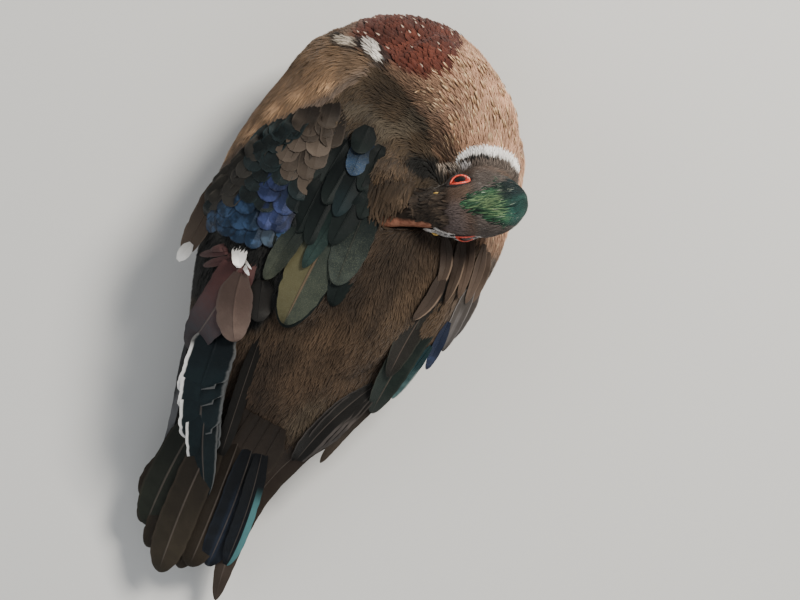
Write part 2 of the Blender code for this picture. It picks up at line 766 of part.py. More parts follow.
def boxes_meet(first, second):
    """True if the boxes of two solids touch, with a little to spare."""
    (low_a, high_a), (low_b, high_b) = box_of(first), box_of(second)
    return all(low_a[k] - GAP * 3 < high_b[k] and low_b[k] - GAP * 3 < high_a[k] for k in range(3))


def centre_bird():
    """Carries the whole bird so that the origin is under the middle of its box."""
    boxes = [box_of(thing) for thing in BIRD.objects]
    lowest = Vector(min(low[k] for low, high in boxes) for k in range(3))
    highest = Vector(max(high[k] for low, high in boxes) for k in range(3))
    carrier = bpy.data.objects.new("bird", None)
    carrier.location = (-(lowest.x + highest.x) / 2, -(lowest.y + highest.y) / 2, -lowest.z)
    BIRD.objects.link(carrier)
    for thing in list(BIRD.objects):
        if thing is not carrier:
            thing.parent = carrier


clear_scene()
BIRD = make_collection("wood_duck")
CUTTERS = make_collection("cutters")
# Each solid's mesh as it was before any cut
WHOLE = {}
make_bird()
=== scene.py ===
"""The looks of a resting drake wood duck in worn eclipse plumage, as a life-size still model.

Sizes are in metres in the row frame. Tables of places on the bird are in millimetres in the bird's own
frame: +Y from the tail to the breast, +X to its right, +Z up from the floor that it rests on.
"""
import itertools
import json
import logging
import math
from dataclasses import dataclass, field, replace
from enum import Enum

import bmesh
import bpy
import numpy as np
from mathutils import Matrix, Vector
from mathutils.bvhtree import BVHTree
from mathutils.kdtree import KDTree

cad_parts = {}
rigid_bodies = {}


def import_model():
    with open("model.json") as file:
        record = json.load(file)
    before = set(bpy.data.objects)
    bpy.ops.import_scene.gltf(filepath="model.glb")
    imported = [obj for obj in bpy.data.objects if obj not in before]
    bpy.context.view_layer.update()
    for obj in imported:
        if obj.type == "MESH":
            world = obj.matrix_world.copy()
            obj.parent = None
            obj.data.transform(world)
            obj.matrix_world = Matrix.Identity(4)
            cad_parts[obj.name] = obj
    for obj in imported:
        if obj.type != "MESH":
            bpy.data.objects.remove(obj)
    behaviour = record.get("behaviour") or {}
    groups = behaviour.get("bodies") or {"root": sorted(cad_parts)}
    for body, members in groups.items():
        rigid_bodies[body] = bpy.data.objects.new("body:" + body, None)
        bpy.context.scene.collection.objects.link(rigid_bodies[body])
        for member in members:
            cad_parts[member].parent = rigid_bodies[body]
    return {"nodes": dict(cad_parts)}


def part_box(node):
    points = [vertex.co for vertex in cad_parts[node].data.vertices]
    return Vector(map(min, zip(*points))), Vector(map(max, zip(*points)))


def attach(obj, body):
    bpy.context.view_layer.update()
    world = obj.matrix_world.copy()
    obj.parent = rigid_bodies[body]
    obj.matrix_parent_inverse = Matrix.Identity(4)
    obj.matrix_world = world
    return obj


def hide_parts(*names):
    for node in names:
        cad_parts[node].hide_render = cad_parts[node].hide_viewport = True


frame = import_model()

LOG = logging.getLogger("wood_duck")
MM = 0.001
BODY = "root"
SEED = 11
HEAD_CENTRE = Vector((44.4, 34.5, 110.0))
HEAD_HEADING, HEAD_PITCH, HEAD_ROLL = 212.9, -5.0, 12.0
FLESH = ("trunk", "neck_lower", "neck_middle", "neck_upper")
EYE_SIDEWAYS, EYE_HEIGHT, EYE_RADIUS, EYE_LIFT = 11.8, 1.5, 5.6, 30.0
HEAD_STATIONS = (
    (-34.0, 4.5, 2.0, -5.0),
    (-31.0, 9.0, 6.0, -10.0),
    (-24.0, 14.5, 12.0, -15.5),
    (-14.0, 17.2, 16.0, -18.8),
    (-3.0, 16.4, 17.2, -18.5),
    (7.0, 14.5, 15.5, -16.5),
    (14.0, 12.2, 11.8, -13.5),
    (18.0, 10.6, 8.8, -11.8),
)
NECK_POINTS = (
    (-4.0, 80.0, 62.0, 38.0),
    (12.0, 79.0, 72.0, 34.5),
    (27.0, 73.5, 80.0, 30.0),
    (40.0, 62.0, 86.0, 23.6),
    (52.0, 48.0, 95.0, 18.0),
)
BILL_BASE = 18.3
BILL_STATIONS = (
    (0.0, 9.8, 7.6, -6.0, -10.6),
    (6.0, 8.8, 4.8, -6.4, -10.3),
    (14.0, 8.0, 1.2, -6.8, -9.8),
    (23.0, 7.8, -2.2, -7.0, -9.2),
    (30.0, 6.6, -4.2, -7.2, -8.8),
    (33.5, 3.5, -5.4, -7.4, -8.4),
)
FOLD_CENTRE, FOLD_HALF, FOLD_TURN = (4.5, 27.0), (12.5, 18.0), 38.0
COLLAR = ((30.2, 55.0), (31.0, 58.4), (33.0, 61.3), (35.8, 63.9), (39.0, 66.2), (43.3, 68.1), (47.3, 69.2),
          (51.6, 69.9), (56.0, 69.4), (60.5, 66.5))

Three = tuple[float, float, float]
Colour = Three
Array = np.ndarray
Line = tuple[tuple[float, ...], ...]
Pair = tuple[float, float]
Rows = dict[str, Array]
Material = bpy.types.Material
Mesh = bpy.types.Mesh
Piece = bpy.types.Object


# Shader and geometry node sheets


class Wire:
    """A node's socket that takes part in Python arithmetic by adding the nodes that work it out."""

    def __init__(self, sheet: "Sheet", socket: bpy.types.NodeSocket) -> None:
        """Holds a socket of a sheet."""
        self.sheet = sheet
        self.socket = socket

    @property
    def is_vector(self) -> bool:
        """True if the socket carries a vector."""
        return self.socket.type == "VECTOR"

    def call(self, operation: str, *others: object) -> "Wire":
        """Adds the Math or Vector Math node for an operation.

        Args:
            operation: the node's operation.
            others: the values or wires that follow this one.

        Returns:
            The node's result.
        """
        vector = self.is_vector or any(isinstance(o, Wire) and o.is_vector for o in others)
        kind = "ShaderNodeVectorMath" if vector else "ShaderNodeMath"
        return self.sheet.wire(kind, {"operation": operation}, dict(enumerate((self, *others))))

    def __add__(self, other: object) -> "Wire":
        """This plus the other."""
        return self.call("ADD", other)

    __radd__ = __add__

    def __sub__(self, other: object) -> "Wire":
        """This less the other."""
        return self.call("SUBTRACT", other)

    def __rsub__(self, other: float) -> "Wire":
        """A number less this."""
        return self.sheet.wire("ShaderNodeMath", {"operation": "SUBTRACT"}, {0: other, 1: self})

    def __mul__(self, other: object) -> "Wire":
        """This times the other, where a vector is scaled by a number.

        Args:
            other: a number or a wire.

        Returns:
            The product.
        """
        if self.is_vector and not (isinstance(other, Wire) and other.is_vector):
            settings = {"operation": "SCALE"}
            return self.sheet.wire("ShaderNodeVectorMath", settings, {0: self, "Scale": other})
        return self.call("MULTIPLY", other)

    __rmul__ = __mul__

    def __pow__(self, power: float) -> "Wire":
        """This raised to a power."""
        return self.call("POWER", power)

    def ease(self, low: object, high: object) -> "Wire":
        """A smooth step of this from 0 at low to 1 at high."""
        inputs = {"Value": self, "From Min": low, "From Max": high}
        return self.sheet.wire("ShaderNodeMapRange", {"interpolation_type": "SMOOTHSTEP"}, inputs)

    def part(self, axis: int) -> "Wire":
        """One of the three numbers of a vector."""
        return self.sheet.wire("ShaderNodeSeparateXYZ", {}, {0: self}, axis)


class Sheet:
    """A node tree that is filled in by calls."""

    def __init__(self, tree: bpy.types.NodeTree) -> None:
        """Starts on an empty tree."""
        self.tree = tree
        tree.nodes.clear()

    def node(self, kind: str, settings: dict | None = None, inputs: dict | None = None) -> bpy.types.Node:
        """Adds one node.

        Args:
            kind: the node's type.
            settings: its properties, which are set first.
            inputs: values or wires by the name or number of its sockets.

        Returns:
            The node.
        """
        made = self.tree.nodes.new(kind)
        for name, value in (settings or {}).items():
            setattr(made, name, value)
        for name, value in (inputs or {}).items():
            socket = made.inputs[name]
            if isinstance(value, Wire):
                self.tree.links.new(value.socket, socket)
            elif socket.type == "RGBA":
                socket.default_value = (*value[:3], 1.0)
            else:
                socket.default_value = value
        return made

    def wire(
        self, kind: str, settings: dict | None = None, inputs: dict | None = None, out: int | str = 0
    ) -> Wire:
        """Adds one node and returns one of its outputs as a wire."""
        return Wire(self, self.node(kind, settings, inputs).outputs[out])


class Shading(Sheet):
    """A material's node tree, with the nodes that its finishes share."""

    def __init__(self, name: str) -> None:
        """Makes the material and its tree.

        Args:
            name: the material's name.
        """
        self.material = bpy.data.materials.new(name)
        self.material.use_nodes = True
        super().__init__(self.material.node_tree)

    def mix(self, first: object, second: object, share: object) -> Wire:
        """A colour between two colours, by a share from 0 to 1."""
        return self.wire("ShaderNodeMix", {"data_type": "RGBA"}, {0: share, 6: first, 7: second}, 2)

    def tint(self, colour: object, amount: Wire) -> Wire:
        """A colour made lighter or darker by a number round 1.

        Args:
            colour: the colour.
            amount: how bright; 1 leaves it as it is.

        Returns:
            The new colour.
        """
        grey = self.wire("ShaderNodeCombineColor", {}, {0: amount, 1: amount, 2: amount})
        settings = {"data_type": "RGBA", "blend_type": "MULTIPLY"}
        return self.wire("ShaderNodeMix", settings, {0: 1.0, 6: colour, 7: grey}, 2)

    def attribute(self, name: str, out: str = "Color") -> Wire:
        """One output of an attribute of the piece."""
        return self.wire("ShaderNodeAttribute", {"attribute_name": name}, {}, out)

    def place(self) -> Wire:
        """Object coordinates."""
        return self.wire("ShaderNodeTexCoord", {}, {}, "Object")

    def noise(self, size: float, detail: float = 3.0) -> Wire:
        """Noise from 0 to 1 whose grains are about one size in metres across."""
        inputs = {"Vector": self.place(), "Scale": 1.0 / size, "Detail": detail}
        return self.wire("ShaderNodeTexNoise", {}, inputs)

    def bump(self, height: Wire, depth: float) -> Wire:
        """A normal bent by a height from 0 to 1 whose range is a depth in metres."""
        return self.wire("ShaderNodeBump", {}, {"Height": height, "Strength": 1.0, "Distance": depth})

    def close(self, varying: dict[str, object], **constant: float) -> Material:
        """Adds the shader and the output.

        Args:
            varying: wires or values by the shader's socket.
            constant: plain values by the socket's name with underscores.

        Returns:
            The finished material.
        """
        inputs = {name.replace("_", " "): value for name, value in constant.items()}
        shader = self.wire("ShaderNodeBsdfPrincipled", {}, inputs | varying)
        self.node("ShaderNodeOutputMaterial", {}, {"Surface": shader})
        return self.material


# Numbers on many points at once


def ease(value: Array, low: Array | float, high: Array | float) -> Array:
    """A smooth step of numbers from 0 at low to 1 at high."""
    share = np.clip((value - low) / (high - low), 0.0, 1.0)
    return share * share * (3 - 2 * share)


def within(value: Array, low: float, high: float, soft: float = 2.0) -> Array:
    """1 between two limits and 0 outside them, with soft ends."""
    return ease(value, low - soft, low + soft) * (1 - ease(value, high - soft, high + soft))


def grain(points: Array, size: float, seed: int = 0) -> Array:
    """Smooth noise in space.

    Args:
        points: places, in mm.
        size: how far apart its hills are, in mm.
        seed: picks another pattern.

    Returns:
        A number from -1 to 1 for each point.
    """
    scaled = points / size + seed * 7.13
    base = np.floor(scaled).astype(np.int64)
    part = scaled - base
    part = part * part * (3 - 2 * part)
    total = np.zeros(len(points))
    for corner in itertools.product((0, 1), repeat=3):
        cell = base + np.array(corner)
        mixed = (cell[:, 0] * 73856093) ^ (cell[:, 1] * 19349663) ^ (cell[:, 2] * 83492791)
        mixed = ((mixed ^ (seed * 2654435)) * 1103515245 + 12345) & 0x7FFFFFFF
        mixed = ((mixed ^ (mixed >> 11)) * 1103515245 + 12345) & 0x7FFFFFFF
        share = np.prod(np.where(np.array(corner) == 1, part, 1 - part), axis=1)
        total += share * ((mixed >> 8) % 10007 / 5003.0 - 1.0)
    return total


def unit(vectors: Array) -> Array:
    """Vectors scaled to length 1."""
    return vectors / np.maximum(np.linalg.norm(vectors, axis=-1, keepdims=True), 1e-9)


def blend(first: Array, second: Array, share: Array) -> Array:
    """Rows between two tables of rows."""
    return first + (second - first) * share[:, None]


def as_rows(*columns: Array) -> Array:
    """Columns side by side, as rows."""
    return np.stack(columns, axis=1)


def turn_of(degrees: float) -> Pair:
    """The cosine and the sine of an angle."""
    return math.cos(math.radians(degrees)), math.sin(math.radians(degrees))


def read_table(table: Line, at: Array) -> Array:
    """Every other column of a table, read at places in its first column."""
    rows = np.array(table)
    return np.stack([np.interp(at, rows[:, 0], rows[:, k]) for k in range(1, rows.shape[1])], axis=1)


def spot(x: Array, y: Array, centre: Pair, reach: Pair, turn: float = 0.0) -> Array:
    """How far points lie from a spot's centre, where 1 is its edge.

    Args:
        x: the points' first number.
        y: their second number.
        centre: the spot's centre.
        reach: its half length and half width.
        turn: how far its length is turned from the first axis, in degrees.

    Returns:
        The distance of each point.
    """
    c, s = turn_of(turn)
    dx, dy = x - centre[0], y - centre[1]
    return np.hypot((dx * c + dy * s) / reach[0], (dy * c - dx * s) / reach[1])


def stroke(x: Array, y: Array, line: Line) -> tuple[Array, Array]:
    """How far points lie from a line of corners.

    Args:
        x: the points' first number.
        y: their second number.
        line: the corners.

    Returns:
        The distance, and how far along the line the nearest place is, from 0 to 1.
    """
    best, where = np.full(len(x), 1e9), np.zeros(len(x))
    for k, ((ax, ay), (bx, by)) in enumerate(zip(line, line[1:])):
        dx, dy = bx - ax, by - ay
        share = np.clip(((x - ax) * dx + (y - ay) * dy) / (dx * dx + dy * dy), 0, 1)
        far = np.hypot(x - ax - dx * share, y - ay - dy * share)
        nearer = far < best
        best[nearer] = far[nearer]
        where[nearer] = (k + share[nearer]) / (len(line) - 1)
    return best, where


# Frames


class Place:
    """Where the bird's own frame and its head's frame lie in the row frame."""

    def __init__(self) -> None:
        """Finds the bird's frame from the two eyes' solids."""
        self.head = self._head_frame()
        corners = (*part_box("eye_left"), *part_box("eye_right"))
        middle = np.sum([np.array(corner) for corner in corners], axis=0) / 4
        self.shift = middle - np.array(self.head @ Vector((0, 0, EYE_HEIGHT))) * MM
        self.turn = np.array(self.head)

    @staticmethod
    def _head_frame() -> Matrix:
        """The head's frame in the bird's, in mm: +X to the bill, +Y to its left, +Z to the crown.

        Returns:
            The frame.
        """
        heading, pitch, roll = (math.radians(d) for d in (HEAD_HEADING, HEAD_PITCH, HEAD_ROLL))
        level = math.cos(pitch)
        ahead = Vector((math.cos(heading) * level, math.sin(heading) * level, math.sin(pitch)))
        aside = Vector((-ahead.y, ahead.x, 0)).normalized()
        up = ahead.cross(aside) * math.cos(roll) + aside * math.sin(roll)
        turned = Matrix((ahead, up.cross(ahead), up)).transposed().to_4x4()
        return Matrix.Translation(HEAD_CENTRE) @ turned

    def to_row(self, points: Array) -> Array:
        """Places in mm in the bird's frame as metres in the row frame."""
        return np.asarray(points) * MM + self.shift

    def to_bird(self, points: Array) -> Array:
        """Places in metres in the row frame as mm in the bird's frame."""
        return (np.asarray(points) - self.shift) / MM

    def to_head(self, points: Array) -> Array:
        """Places in mm in the bird's frame as mm in the head's frame."""
        return (points - self.turn[:3, 3]) @ self.turn[:3, :3]

    def from_head(self, points: Array) -> Array:
        """Places in mm in the head's frame as metres in the row frame."""
        return self.to_row(np.asarray(points) @ self.turn[:3, :3].T + self.turn[:3, 3])


PLACE = Place()


@dataclass(frozen=True)
class EyeFrame:
    """One eye's own frame: ahead to the bill, up along the lids and out along the line of sight."""

    side: int

    @property
    def centre(self) -> Array:
        """The eyeball's middle, in mm in the head's frame."""
        return np.array([0.0, self.side * EYE_SIDEWAYS, EYE_HEIGHT])

    @property
    def axes(self) -> Array:
        """The three directions as rows, in the head's frame."""
        c, s = turn_of(EYE_LIFT)
        return np.array([[1.0, 0.0, 0.0], [0.0, -self.side * s, c], [0.0, self.side * c, s]])

    def to_head(self, own: Array) -> Array:
        """Places in the eye's frame as places in the head's."""
        return np.asarray(own) @ self.axes + self.centre

    def from_head(self, points: Array) -> Array:
        """Places in the head's frame as places in the eye's."""
        return (points - self.centre) @ self.axes.T


EYES = {"left": EyeFrame(1), "right": EyeFrame(-1)}


# Plumage looks and where they are


@dataclass(frozen=True)
class Look:
    """How the feathers of one tract look. Its colours are in thousandths.

    The marks are, in order, a spot at the tip, a streak on the shaft, a thin edge all round and an edge on
    the outer side, which is narrow at 1 and covers the whole outer half at 2.
    """

    tone: Colour
    tip: Colour | None = None
    mark: Colour = (500, 400, 300)
    marks: tuple[float, float, float, float] = (0.0, 0.0, 0.0, 0.0)
    gloss: float = 0.0
    speckle: float = 0.0
    long: float = 8.0
    wide: float = 0.9
    apart: float = 1.0

    def but(self, tone: Colour | None = None, tip: Colour | None = None, **changes: object) -> "Look":
        """This look with some of its values changed."""
        return replace(self, tone=tone or self.tone, tip=tip or self.tip, **changes)

    def rows(self, chance: float = 0.0) -> dict[str, tuple[float, ...]]:
        """The numbers that are stored for a point, by name."""
        colours = {"tone": self.tone, "tip": self.tip or self.tone, "mark": self.mark}
        return {name: tuple(c / 1000 for c in colour) for name, colour in colours.items()} | {
            "marks": self.marks, "finish": (self.gloss, self.speckle, chance),
            "size": (self.long, self.wide, self.apart)}

    def shaded(self, share: float) -> "Look":
        """This look, brighter or darker by a share."""
        return self.but(*(tuple(c * share for c in colour) for colour in (self.tone, self.tip or self.tone)))


class Tract:
    """The looks of the tracts of small feathers."""

    BACK = Look((37, 24, 14), (59, 38, 23), long=7.5, wide=0.92, apart=0.8)
    MANTLE = Look((33, 23, 14), (56, 38, 22), long=8.0, wide=0.92, apart=0.8)
    FOLD = Look((50, 33, 20), (100, 65, 38), long=11.0, wide=0.7, apart=0.62)
    BELLY = Look((500, 450, 370), (620, 570, 480), long=10.0, wide=5.0, apart=3.3)
    UNDERTAIL = Look((60, 42, 32), (90, 65, 50), long=11.0, wide=4.5, apart=3.0)
    SIDE = Look((150, 108, 74), (200, 145, 100), long=11.0, wide=4.6, apart=2.8)
    FLANK = Look((155, 94, 50), (215, 130, 72), long=10.0, wide=1.1, apart=0.95)
    NECK = Look((230, 130, 80), (330, 190, 120), long=5.5, wide=0.88, apart=0.76)
    NAPE = Look((84, 50, 31), (135, 84, 52), long=6.0, wide=0.88, apart=0.78)
    CHESTNUT = Look((70, 18, 11), (98, 26, 15), (420, 330, 260), gloss=0.2, long=6.5, wide=2.6, apart=1.7)
    BAR = Look((620, 570, 510), (780, 740, 680), long=6.0, wide=1.1, apart=1.0)
    DARK = Look((12, 10, 9), (17, 15, 13), long=6.0, wide=1.0, apart=1.0)
    FACE = Look((72, 46, 33), (114, 72, 51), long=3.0, wide=0.62, apart=0.54)
    CROWN = Look((11, 44, 22), (48, 148, 70), gloss=0.35, long=8.0, wide=0.6, apart=0.54)
    THROAT = Look((860, 830, 790), (930, 910, 880), long=3.2, wide=0.75, apart=0.58)


@dataclass
class Canvas:
    """Points that are painted: places in mm, four lucky numbers each, a ragged number and their coat."""

    points: Array
    normals: Array
    luck: Array
    rough: Array
    coat: Rows
    edge: Array = field(init=False)
    outside: Array = field(init=False)

    def lay(self, share: Array, look: Look) -> None:
        """Blends one look into the coat.

        Args:
            share: how much of it, for each point.
            look: the look.
        """
        for name, value in look.rows().items():
            self.coat[name] = blend(self.coat[name], np.array(value)[None], share)


class Plumage:
    """Tells the look, the lie and the size of the small feathers at any place on the bird."""

    WIDTHS = {"tone": 3, "tip": 3, "mark": 3, "marks": 4, "finish": 3, "size": 3}
    NECK_SAMPLES = 24

    def __init__(self) -> None:
        """Samples the neck's middle line."""
        rows = np.array(NECK_POINTS)
        shares = np.linspace(0, len(rows) - 1, self.NECK_SAMPLES)
        read = read_table(tuple((k, *row) for k, row in enumerate(rows)), shares)
        self.neck_line, self.neck_radius = read[:, :3], read[:, 3]
        self.neck_along = unit(np.gradient(self.neck_line, axis=0))

    def near_head(self, points: Array) -> tuple[Array, Array]:
        """How much each point belongs to the head.

        Args:
            points: places in mm in the bird's frame.

        Returns:
            The share of the head, and the places in its own frame.
        """
        own = PLACE.to_head(points)
        half, top, bottom = read_table(HEAD_STATIONS, own[:, 0]).T
        middle, height = (top + bottom) / 2, (top - bottom) / 2
        ratio = np.hypot(own[:, 1] / half, (own[:, 2] - middle) / height)
        inside = ease(own[:, 0], -39.0, -36.0) * (1 - ease(own[:, 0], 20.5, 22.0))
        return (1 - ease(ratio, 1.1, 1.28)) * inside, own

    def near_neck(self, points: Array) -> tuple[Array, Array]:
        """How much each point belongs to the neck, and the neck's direction there.

        Args:
            points: places in mm in the bird's frame.

        Returns:
            The share of the neck, and its direction.
        """
        apart = np.linalg.norm(points[:, None, :] - self.neck_line[None], axis=2) - self.neck_radius
        nearest = apart.argmin(axis=1)
        height = apart[np.arange(len(points)), nearest]
        return (1 - ease(height, 1.5, 6.0)) * ease(height, -9.0, -5.0), self.neck_along[nearest]

    def near_fold(self, points: Array) -> Array:
        """How much each point belongs to the loose shoulder feathers over the bill.

        Args:
            points: places in mm in the bird's frame.

        Returns:
            The share of the fold.
        """
        x, y, z = points.T
        far = spot(x, y, FOLD_CENTRE, FOLD_HALF, FOLD_TURN)
        head, _ = self.near_head(points)
        return (1 - ease(far, 0.95, 1.2)) * ease(z, 98, 101) * (1 - head)

    def lie(self, points: Array, normals: Array) -> Array:
        """The way that feathers point, along the skin.

        Args:
            points: places in mm in the bird's frame.
            normals: the skin's outward directions there.

        Returns:
            A direction for each point.
        """
        x, y, z = points.T
        back = np.tile([0.0, -1.0, 0.0], (len(points), 1))
        inward = 0.35 * within(x, 20, 50) * within(y, -30, 12, 8)
        back[:, 0] += np.interp(y, [-140, -60, 40], [0.0, 0.0, -0.12]) + inward
        back[:, 2] -= 0.25 * ease(z, 95, 40) + 0.15
        spread = unit(points - np.array([-2.0, 80.0, 92.0])) + np.array([0.0, 0.15, -0.25])
        way = blend(back, spread, ease(y, 62, 100))
        neck, along = self.near_neck(points)
        way = blend(way, -along + 0.25 * unit(points - np.array([0.0, 75.0, 70.0])), neck)
        way = blend(way, np.tile([-0.02, -1.0, -0.05], (len(points), 1)), self.near_fold(points))
        head, own = self.near_head(points)
        sweep = as_rows(-np.ones(len(points)), 0.12 * np.sign(own[:, 1]), -0.1 * np.ones(len(points)))
        way = blend(way, sweep @ PLACE.turn[:3, :3].T, head)
        swirl = np.cross(normals, way)
        way = way + swirl * (0.25 * grain(points, 16.0, 3) + 0.16 * grain(points, 5.0, 4))[:, None]
        way = way - normals * (way * normals).sum(axis=1, keepdims=True)
        weak = np.linalg.norm(way, axis=1) < 0.08
        down = np.array([0.0, 0.0, -1.0]) + normals * normals[:, 2:3]
        way[weak] = down[weak]
        return unit(way)

    def paint(self, points: Array, normals: Array, seed: int = 5) -> Rows:
        """Colours, marks and sizes for each point.

        Args:
            points: places in mm in the bird's frame.
            normals: the skin's outward directions there.
            seed: picks another scatter of single feathers.

        Returns:
            One row for each point under each of the names.
        """
        count = len(points)
        coat = {name: np.zeros((count, width)) for name, width in self.WIDTHS.items()}
        luck = np.random.default_rng(seed).random((count, 4))
        rough = grain(points, 9.0, 1) * 2.5 + (luck[:, 0] - 0.5) * 2.4
        canvas = Canvas(points, normals, luck, rough, coat)
        for paint in (self._paint_back, self._paint_flanks, self._paint_breast, self._paint_shoulder,
                      self._paint_collar, self._paint_head):
            paint(canvas)
        coat["finish"][:, 2] = luck[:, 2]
        streaks = grain(points * np.array([1.0, 0.35, 1.0]), 6.0, 21)
        shade = 1 + 0.2 * grain(points, 4.0, 6) + 0.26 * grain(points, 15.0, 12) + 0.26 * streaks
        shade = np.maximum(shade + 0.14 * (luck[:, 3] - 0.5), 0.35)
        coat["tone"] *= shade[:, None]
        coat["tip"] *= shade[:, None]
        coat["size"][:, :2] *= (0.85 + 0.3 * luck[:, :2])
        return coat

    def _paint_back(self, c: Canvas) -> None:
        """The brown back and rump, with the paler sides and belly under them.

        Args:
            c: the canvas.
        """
        points, rough = c.points, c.rough
        x, y, z = points.T
        c.lay(np.ones(len(x)), Tract.BACK)
        streaky = 0.5 + 0.5 * grain(points * np.array([1.0, 0.35, 1.0]), 9.0, 2)
        warm = Tract.BACK.but((66, 40, 23), (105, 66, 39))
        c.lay(ease(streaky, 0.6, 0.95) * 0.6, warm)
        sunlit = ease(x + 0.35 * y, 14, 34) * within(y, -120, -10, 16) * ease(z, 40, 60)
        c.lay(sunlit * 0.55, warm.but((80, 50, 29), (130, 85, 50)))
        lower = within(y, -100, -52, 12) * within(x, 0, 38, 8) * ease(z, 40, 60)
        c.lay(lower * (0.3 + 0.5 * streaky), warm)
        upper = within(y, -44, 16, 12) * within(x, -8, 36, 8) * ease(z, 60, 76)
        c.lay(upper * (0.9 - 0.5 * streaky), Tract.BACK.but((22, 15, 10), (35, 24, 16)))
        dark = within(y, -125, -80, 14) * (1 - ease(x, -10, 20)) * ease(z, 30, 50)
        c.lay(dark * 0.5, Tract.BACK.but((24, 16, 12), (38, 26, 19)))
        pale = (1 - ease(spot(x, y, (24, -104), (9, 17), -25), 0.5, 1.3)) * ease(z, 30, 44)
        c.lay(pale * 0.6, warm.but((70, 53, 35), (115, 90, 60)))
        low = 1 - ease(z + rough, 26, 44)
        c.lay(low * (1 - ease(y, -40, -95)), Tract.SIDE)
        under = (1 - ease(z + rough, 8, 18)) * ease(y, -75, -55)
        c.lay(under * (1 - ease(c.normals[:, 2], -0.2, 0.3)), Tract.BELLY)
        c.lay((1 - ease(y + rough, -95, -78)) * (1 - ease(z, 26, 44)), Tract.UNDERTAIL)

    def _paint_flanks(self, c: Canvas) -> None:
        """The soft grey-brown feathers outside the wings, with buff patches on the left.

        Args:
            c: the canvas.
        """
        points, luck, rough = c.points, c.luck, c.rough
        x, y, z = points.T
        c.edge = np.interp(y, [-34, -6, 21, 51, 81, 92], [-84, -80, -68, -46, -30, -24])
        c.outside = (1 - ease(x + rough * 0.5, c.edge - 2, c.edge + 1)) * within(y, -34, 89, 4)
        upper = c.outside * ease(z + rough, 18, 30)
        c.lay(upper, Tract.FLANK)
        inner = upper * ease(x - c.edge, -9, -2)
        c.lay(inner * 0.8, Tract.FLANK.but((70, 55, 46), (105, 84, 70)))
        buff = Tract.FLANK.but((300, 175, 95), (500, 310, 170))
        patches = (((-77, 18), (7, 5)), ((-70, 36), (6, 4.5)), ((-62, 48), (6, 4)), ((-50, 60), (6, 3.5)),
                   ((-86, 2), (7, 4)))
        for centre, reach in patches:
            far = spot(x, y, centre, reach, 55)
            c.lay(upper * (1 - ease(far + luck[:, 1] * 0.5, 0.6, 1.5)) * 0.75, buff)
        dark = upper * ease(grain(points * np.array([1.0, 0.5, 1.0]), 12.0, 14), 0.25, 0.7)
        c.lay(dark * 0.45, Tract.FLANK.but((75, 55, 40), (110, 82, 60)))
        right = ease(x, 58, 66) * ease(y, -32, -12) * (1 - ease(z, 84, 96)) * ease(z, 18, 30)
        c.lay(right, Tract.FLANK.but((75, 53, 38), (115, 85, 62)))

    def _paint_breast(self, c: Canvas) -> None:
        """The dark mantle, the brown neck with buff streaks, the chestnut breast and its white bars.

        Args:
            c: the canvas.
        """
        points, luck, rough = c.points, c.luck, c.rough
        x, y, z = points.T
        border = np.interp(x, [-50, -13, 6, 20, 60], [84, 76, 66, 52, 20])
        within_wing = 1 - c.outside
        mantle = ease(y, 22, 34) * (1 - ease(y + rough, border - 2, border + 4)) * ease(z, 78, 88)
        c.lay(mantle * within_wing, Tract.MANTLE)
        patch = ease(grain(points, 11.0, 8), 0.15, 0.5) * mantle * within_wing
        c.lay(patch * 0.7, Tract.MANTLE.but((56, 45, 31), (82, 67, 47)))
        brown = ease(y + rough * 0.8, border - 1, border + 8) * within_wing * ease(z, 20, 34)
        c.lay(brown, Tract.NECK)
        sunlit = brown * ease(x * 0.8 + y * 0.5 + 6 * grain(points, 12.0, 9), 44, 66)
        c.lay(sunlit * 0.8, Tract.NECK.but((450, 250, 155), (670, 390, 250)))
        grey = ease(grain(points, 7.0, 13), 0.2, 0.6) * brown
        c.lay(grey * 0.5, Tract.NECK.but((180, 120, 90), (280, 190, 145)))
        inner = brown * (1 - ease(y, border + 4, border + 20))
        c.lay(inner * 0.85, Tract.NAPE)
        dashes = (brown - inner * 0.7) * (luck[:, 1] < 0.085) * ease(x + y * 0.4, 16, 34)
        c.lay(dashes, Tract.NECK.but((420, 270, 150), (850, 620, 380), long=6.0, wide=0.95))
        red_right = np.interp(y, [86, 97, 119], [-6, 3, -1])
        ragged = (luck[:, 3] - 0.5) * 9.0
        left_of = 1 - ease(x + rough + ragged, red_right - 1.5, red_right + 1.5)
        chestnut = ease(y + rough * 0.4, 83, 88) * left_of
        chestnut = chestnut * ease(x + rough * 0.6, -56, -50) * ease(z, 24, 36)
        c.lay(chestnut, Tract.CHESTNUT)
        deep = chestnut * ease(grain(points, 8.0, 15), 0.0, 0.5)
        c.lay(deep * 0.6, Tract.CHESTNUT.but((52, 13, 10), (75, 20, 14)))
        front = ease(np.hypot(x + 18, y - 74), 24, 34)
        spots = chestnut * (luck[:, 1] < 0.015 + 0.06 * front)
        c.lay(spots, Tract.CHESTNUT.but(marks=(1, 0, 0, 0)))
        low_breast = ease(y, 60, 75) * (1 - ease(z + rough, 24, 34))
        c.lay(low_breast, Tract.BELLY.but((340, 270, 200), (460, 390, 300)))
        bars = (((-38.5, 88), (8.5, 3.6), -26, Tract.BAR),
                ((-54, 86), (6.0, 3.2), 6, Tract.BAR.but((440, 370, 290), (580, 500, 410))))
        for centre, reach, turn, look in bars:
            far = spot(x, y, centre, reach, turn) + rough * 0.06
            ring = (1 - ease(far, 1.3, 1.9)) * ease(z, 50, 60)
            c.lay(ring * (y < centre[1] + 3) * 0.8, Tract.DARK)
            c.lay((1 - ease(far, 0.8, 1.15)) * ease(z, 50, 60), look)

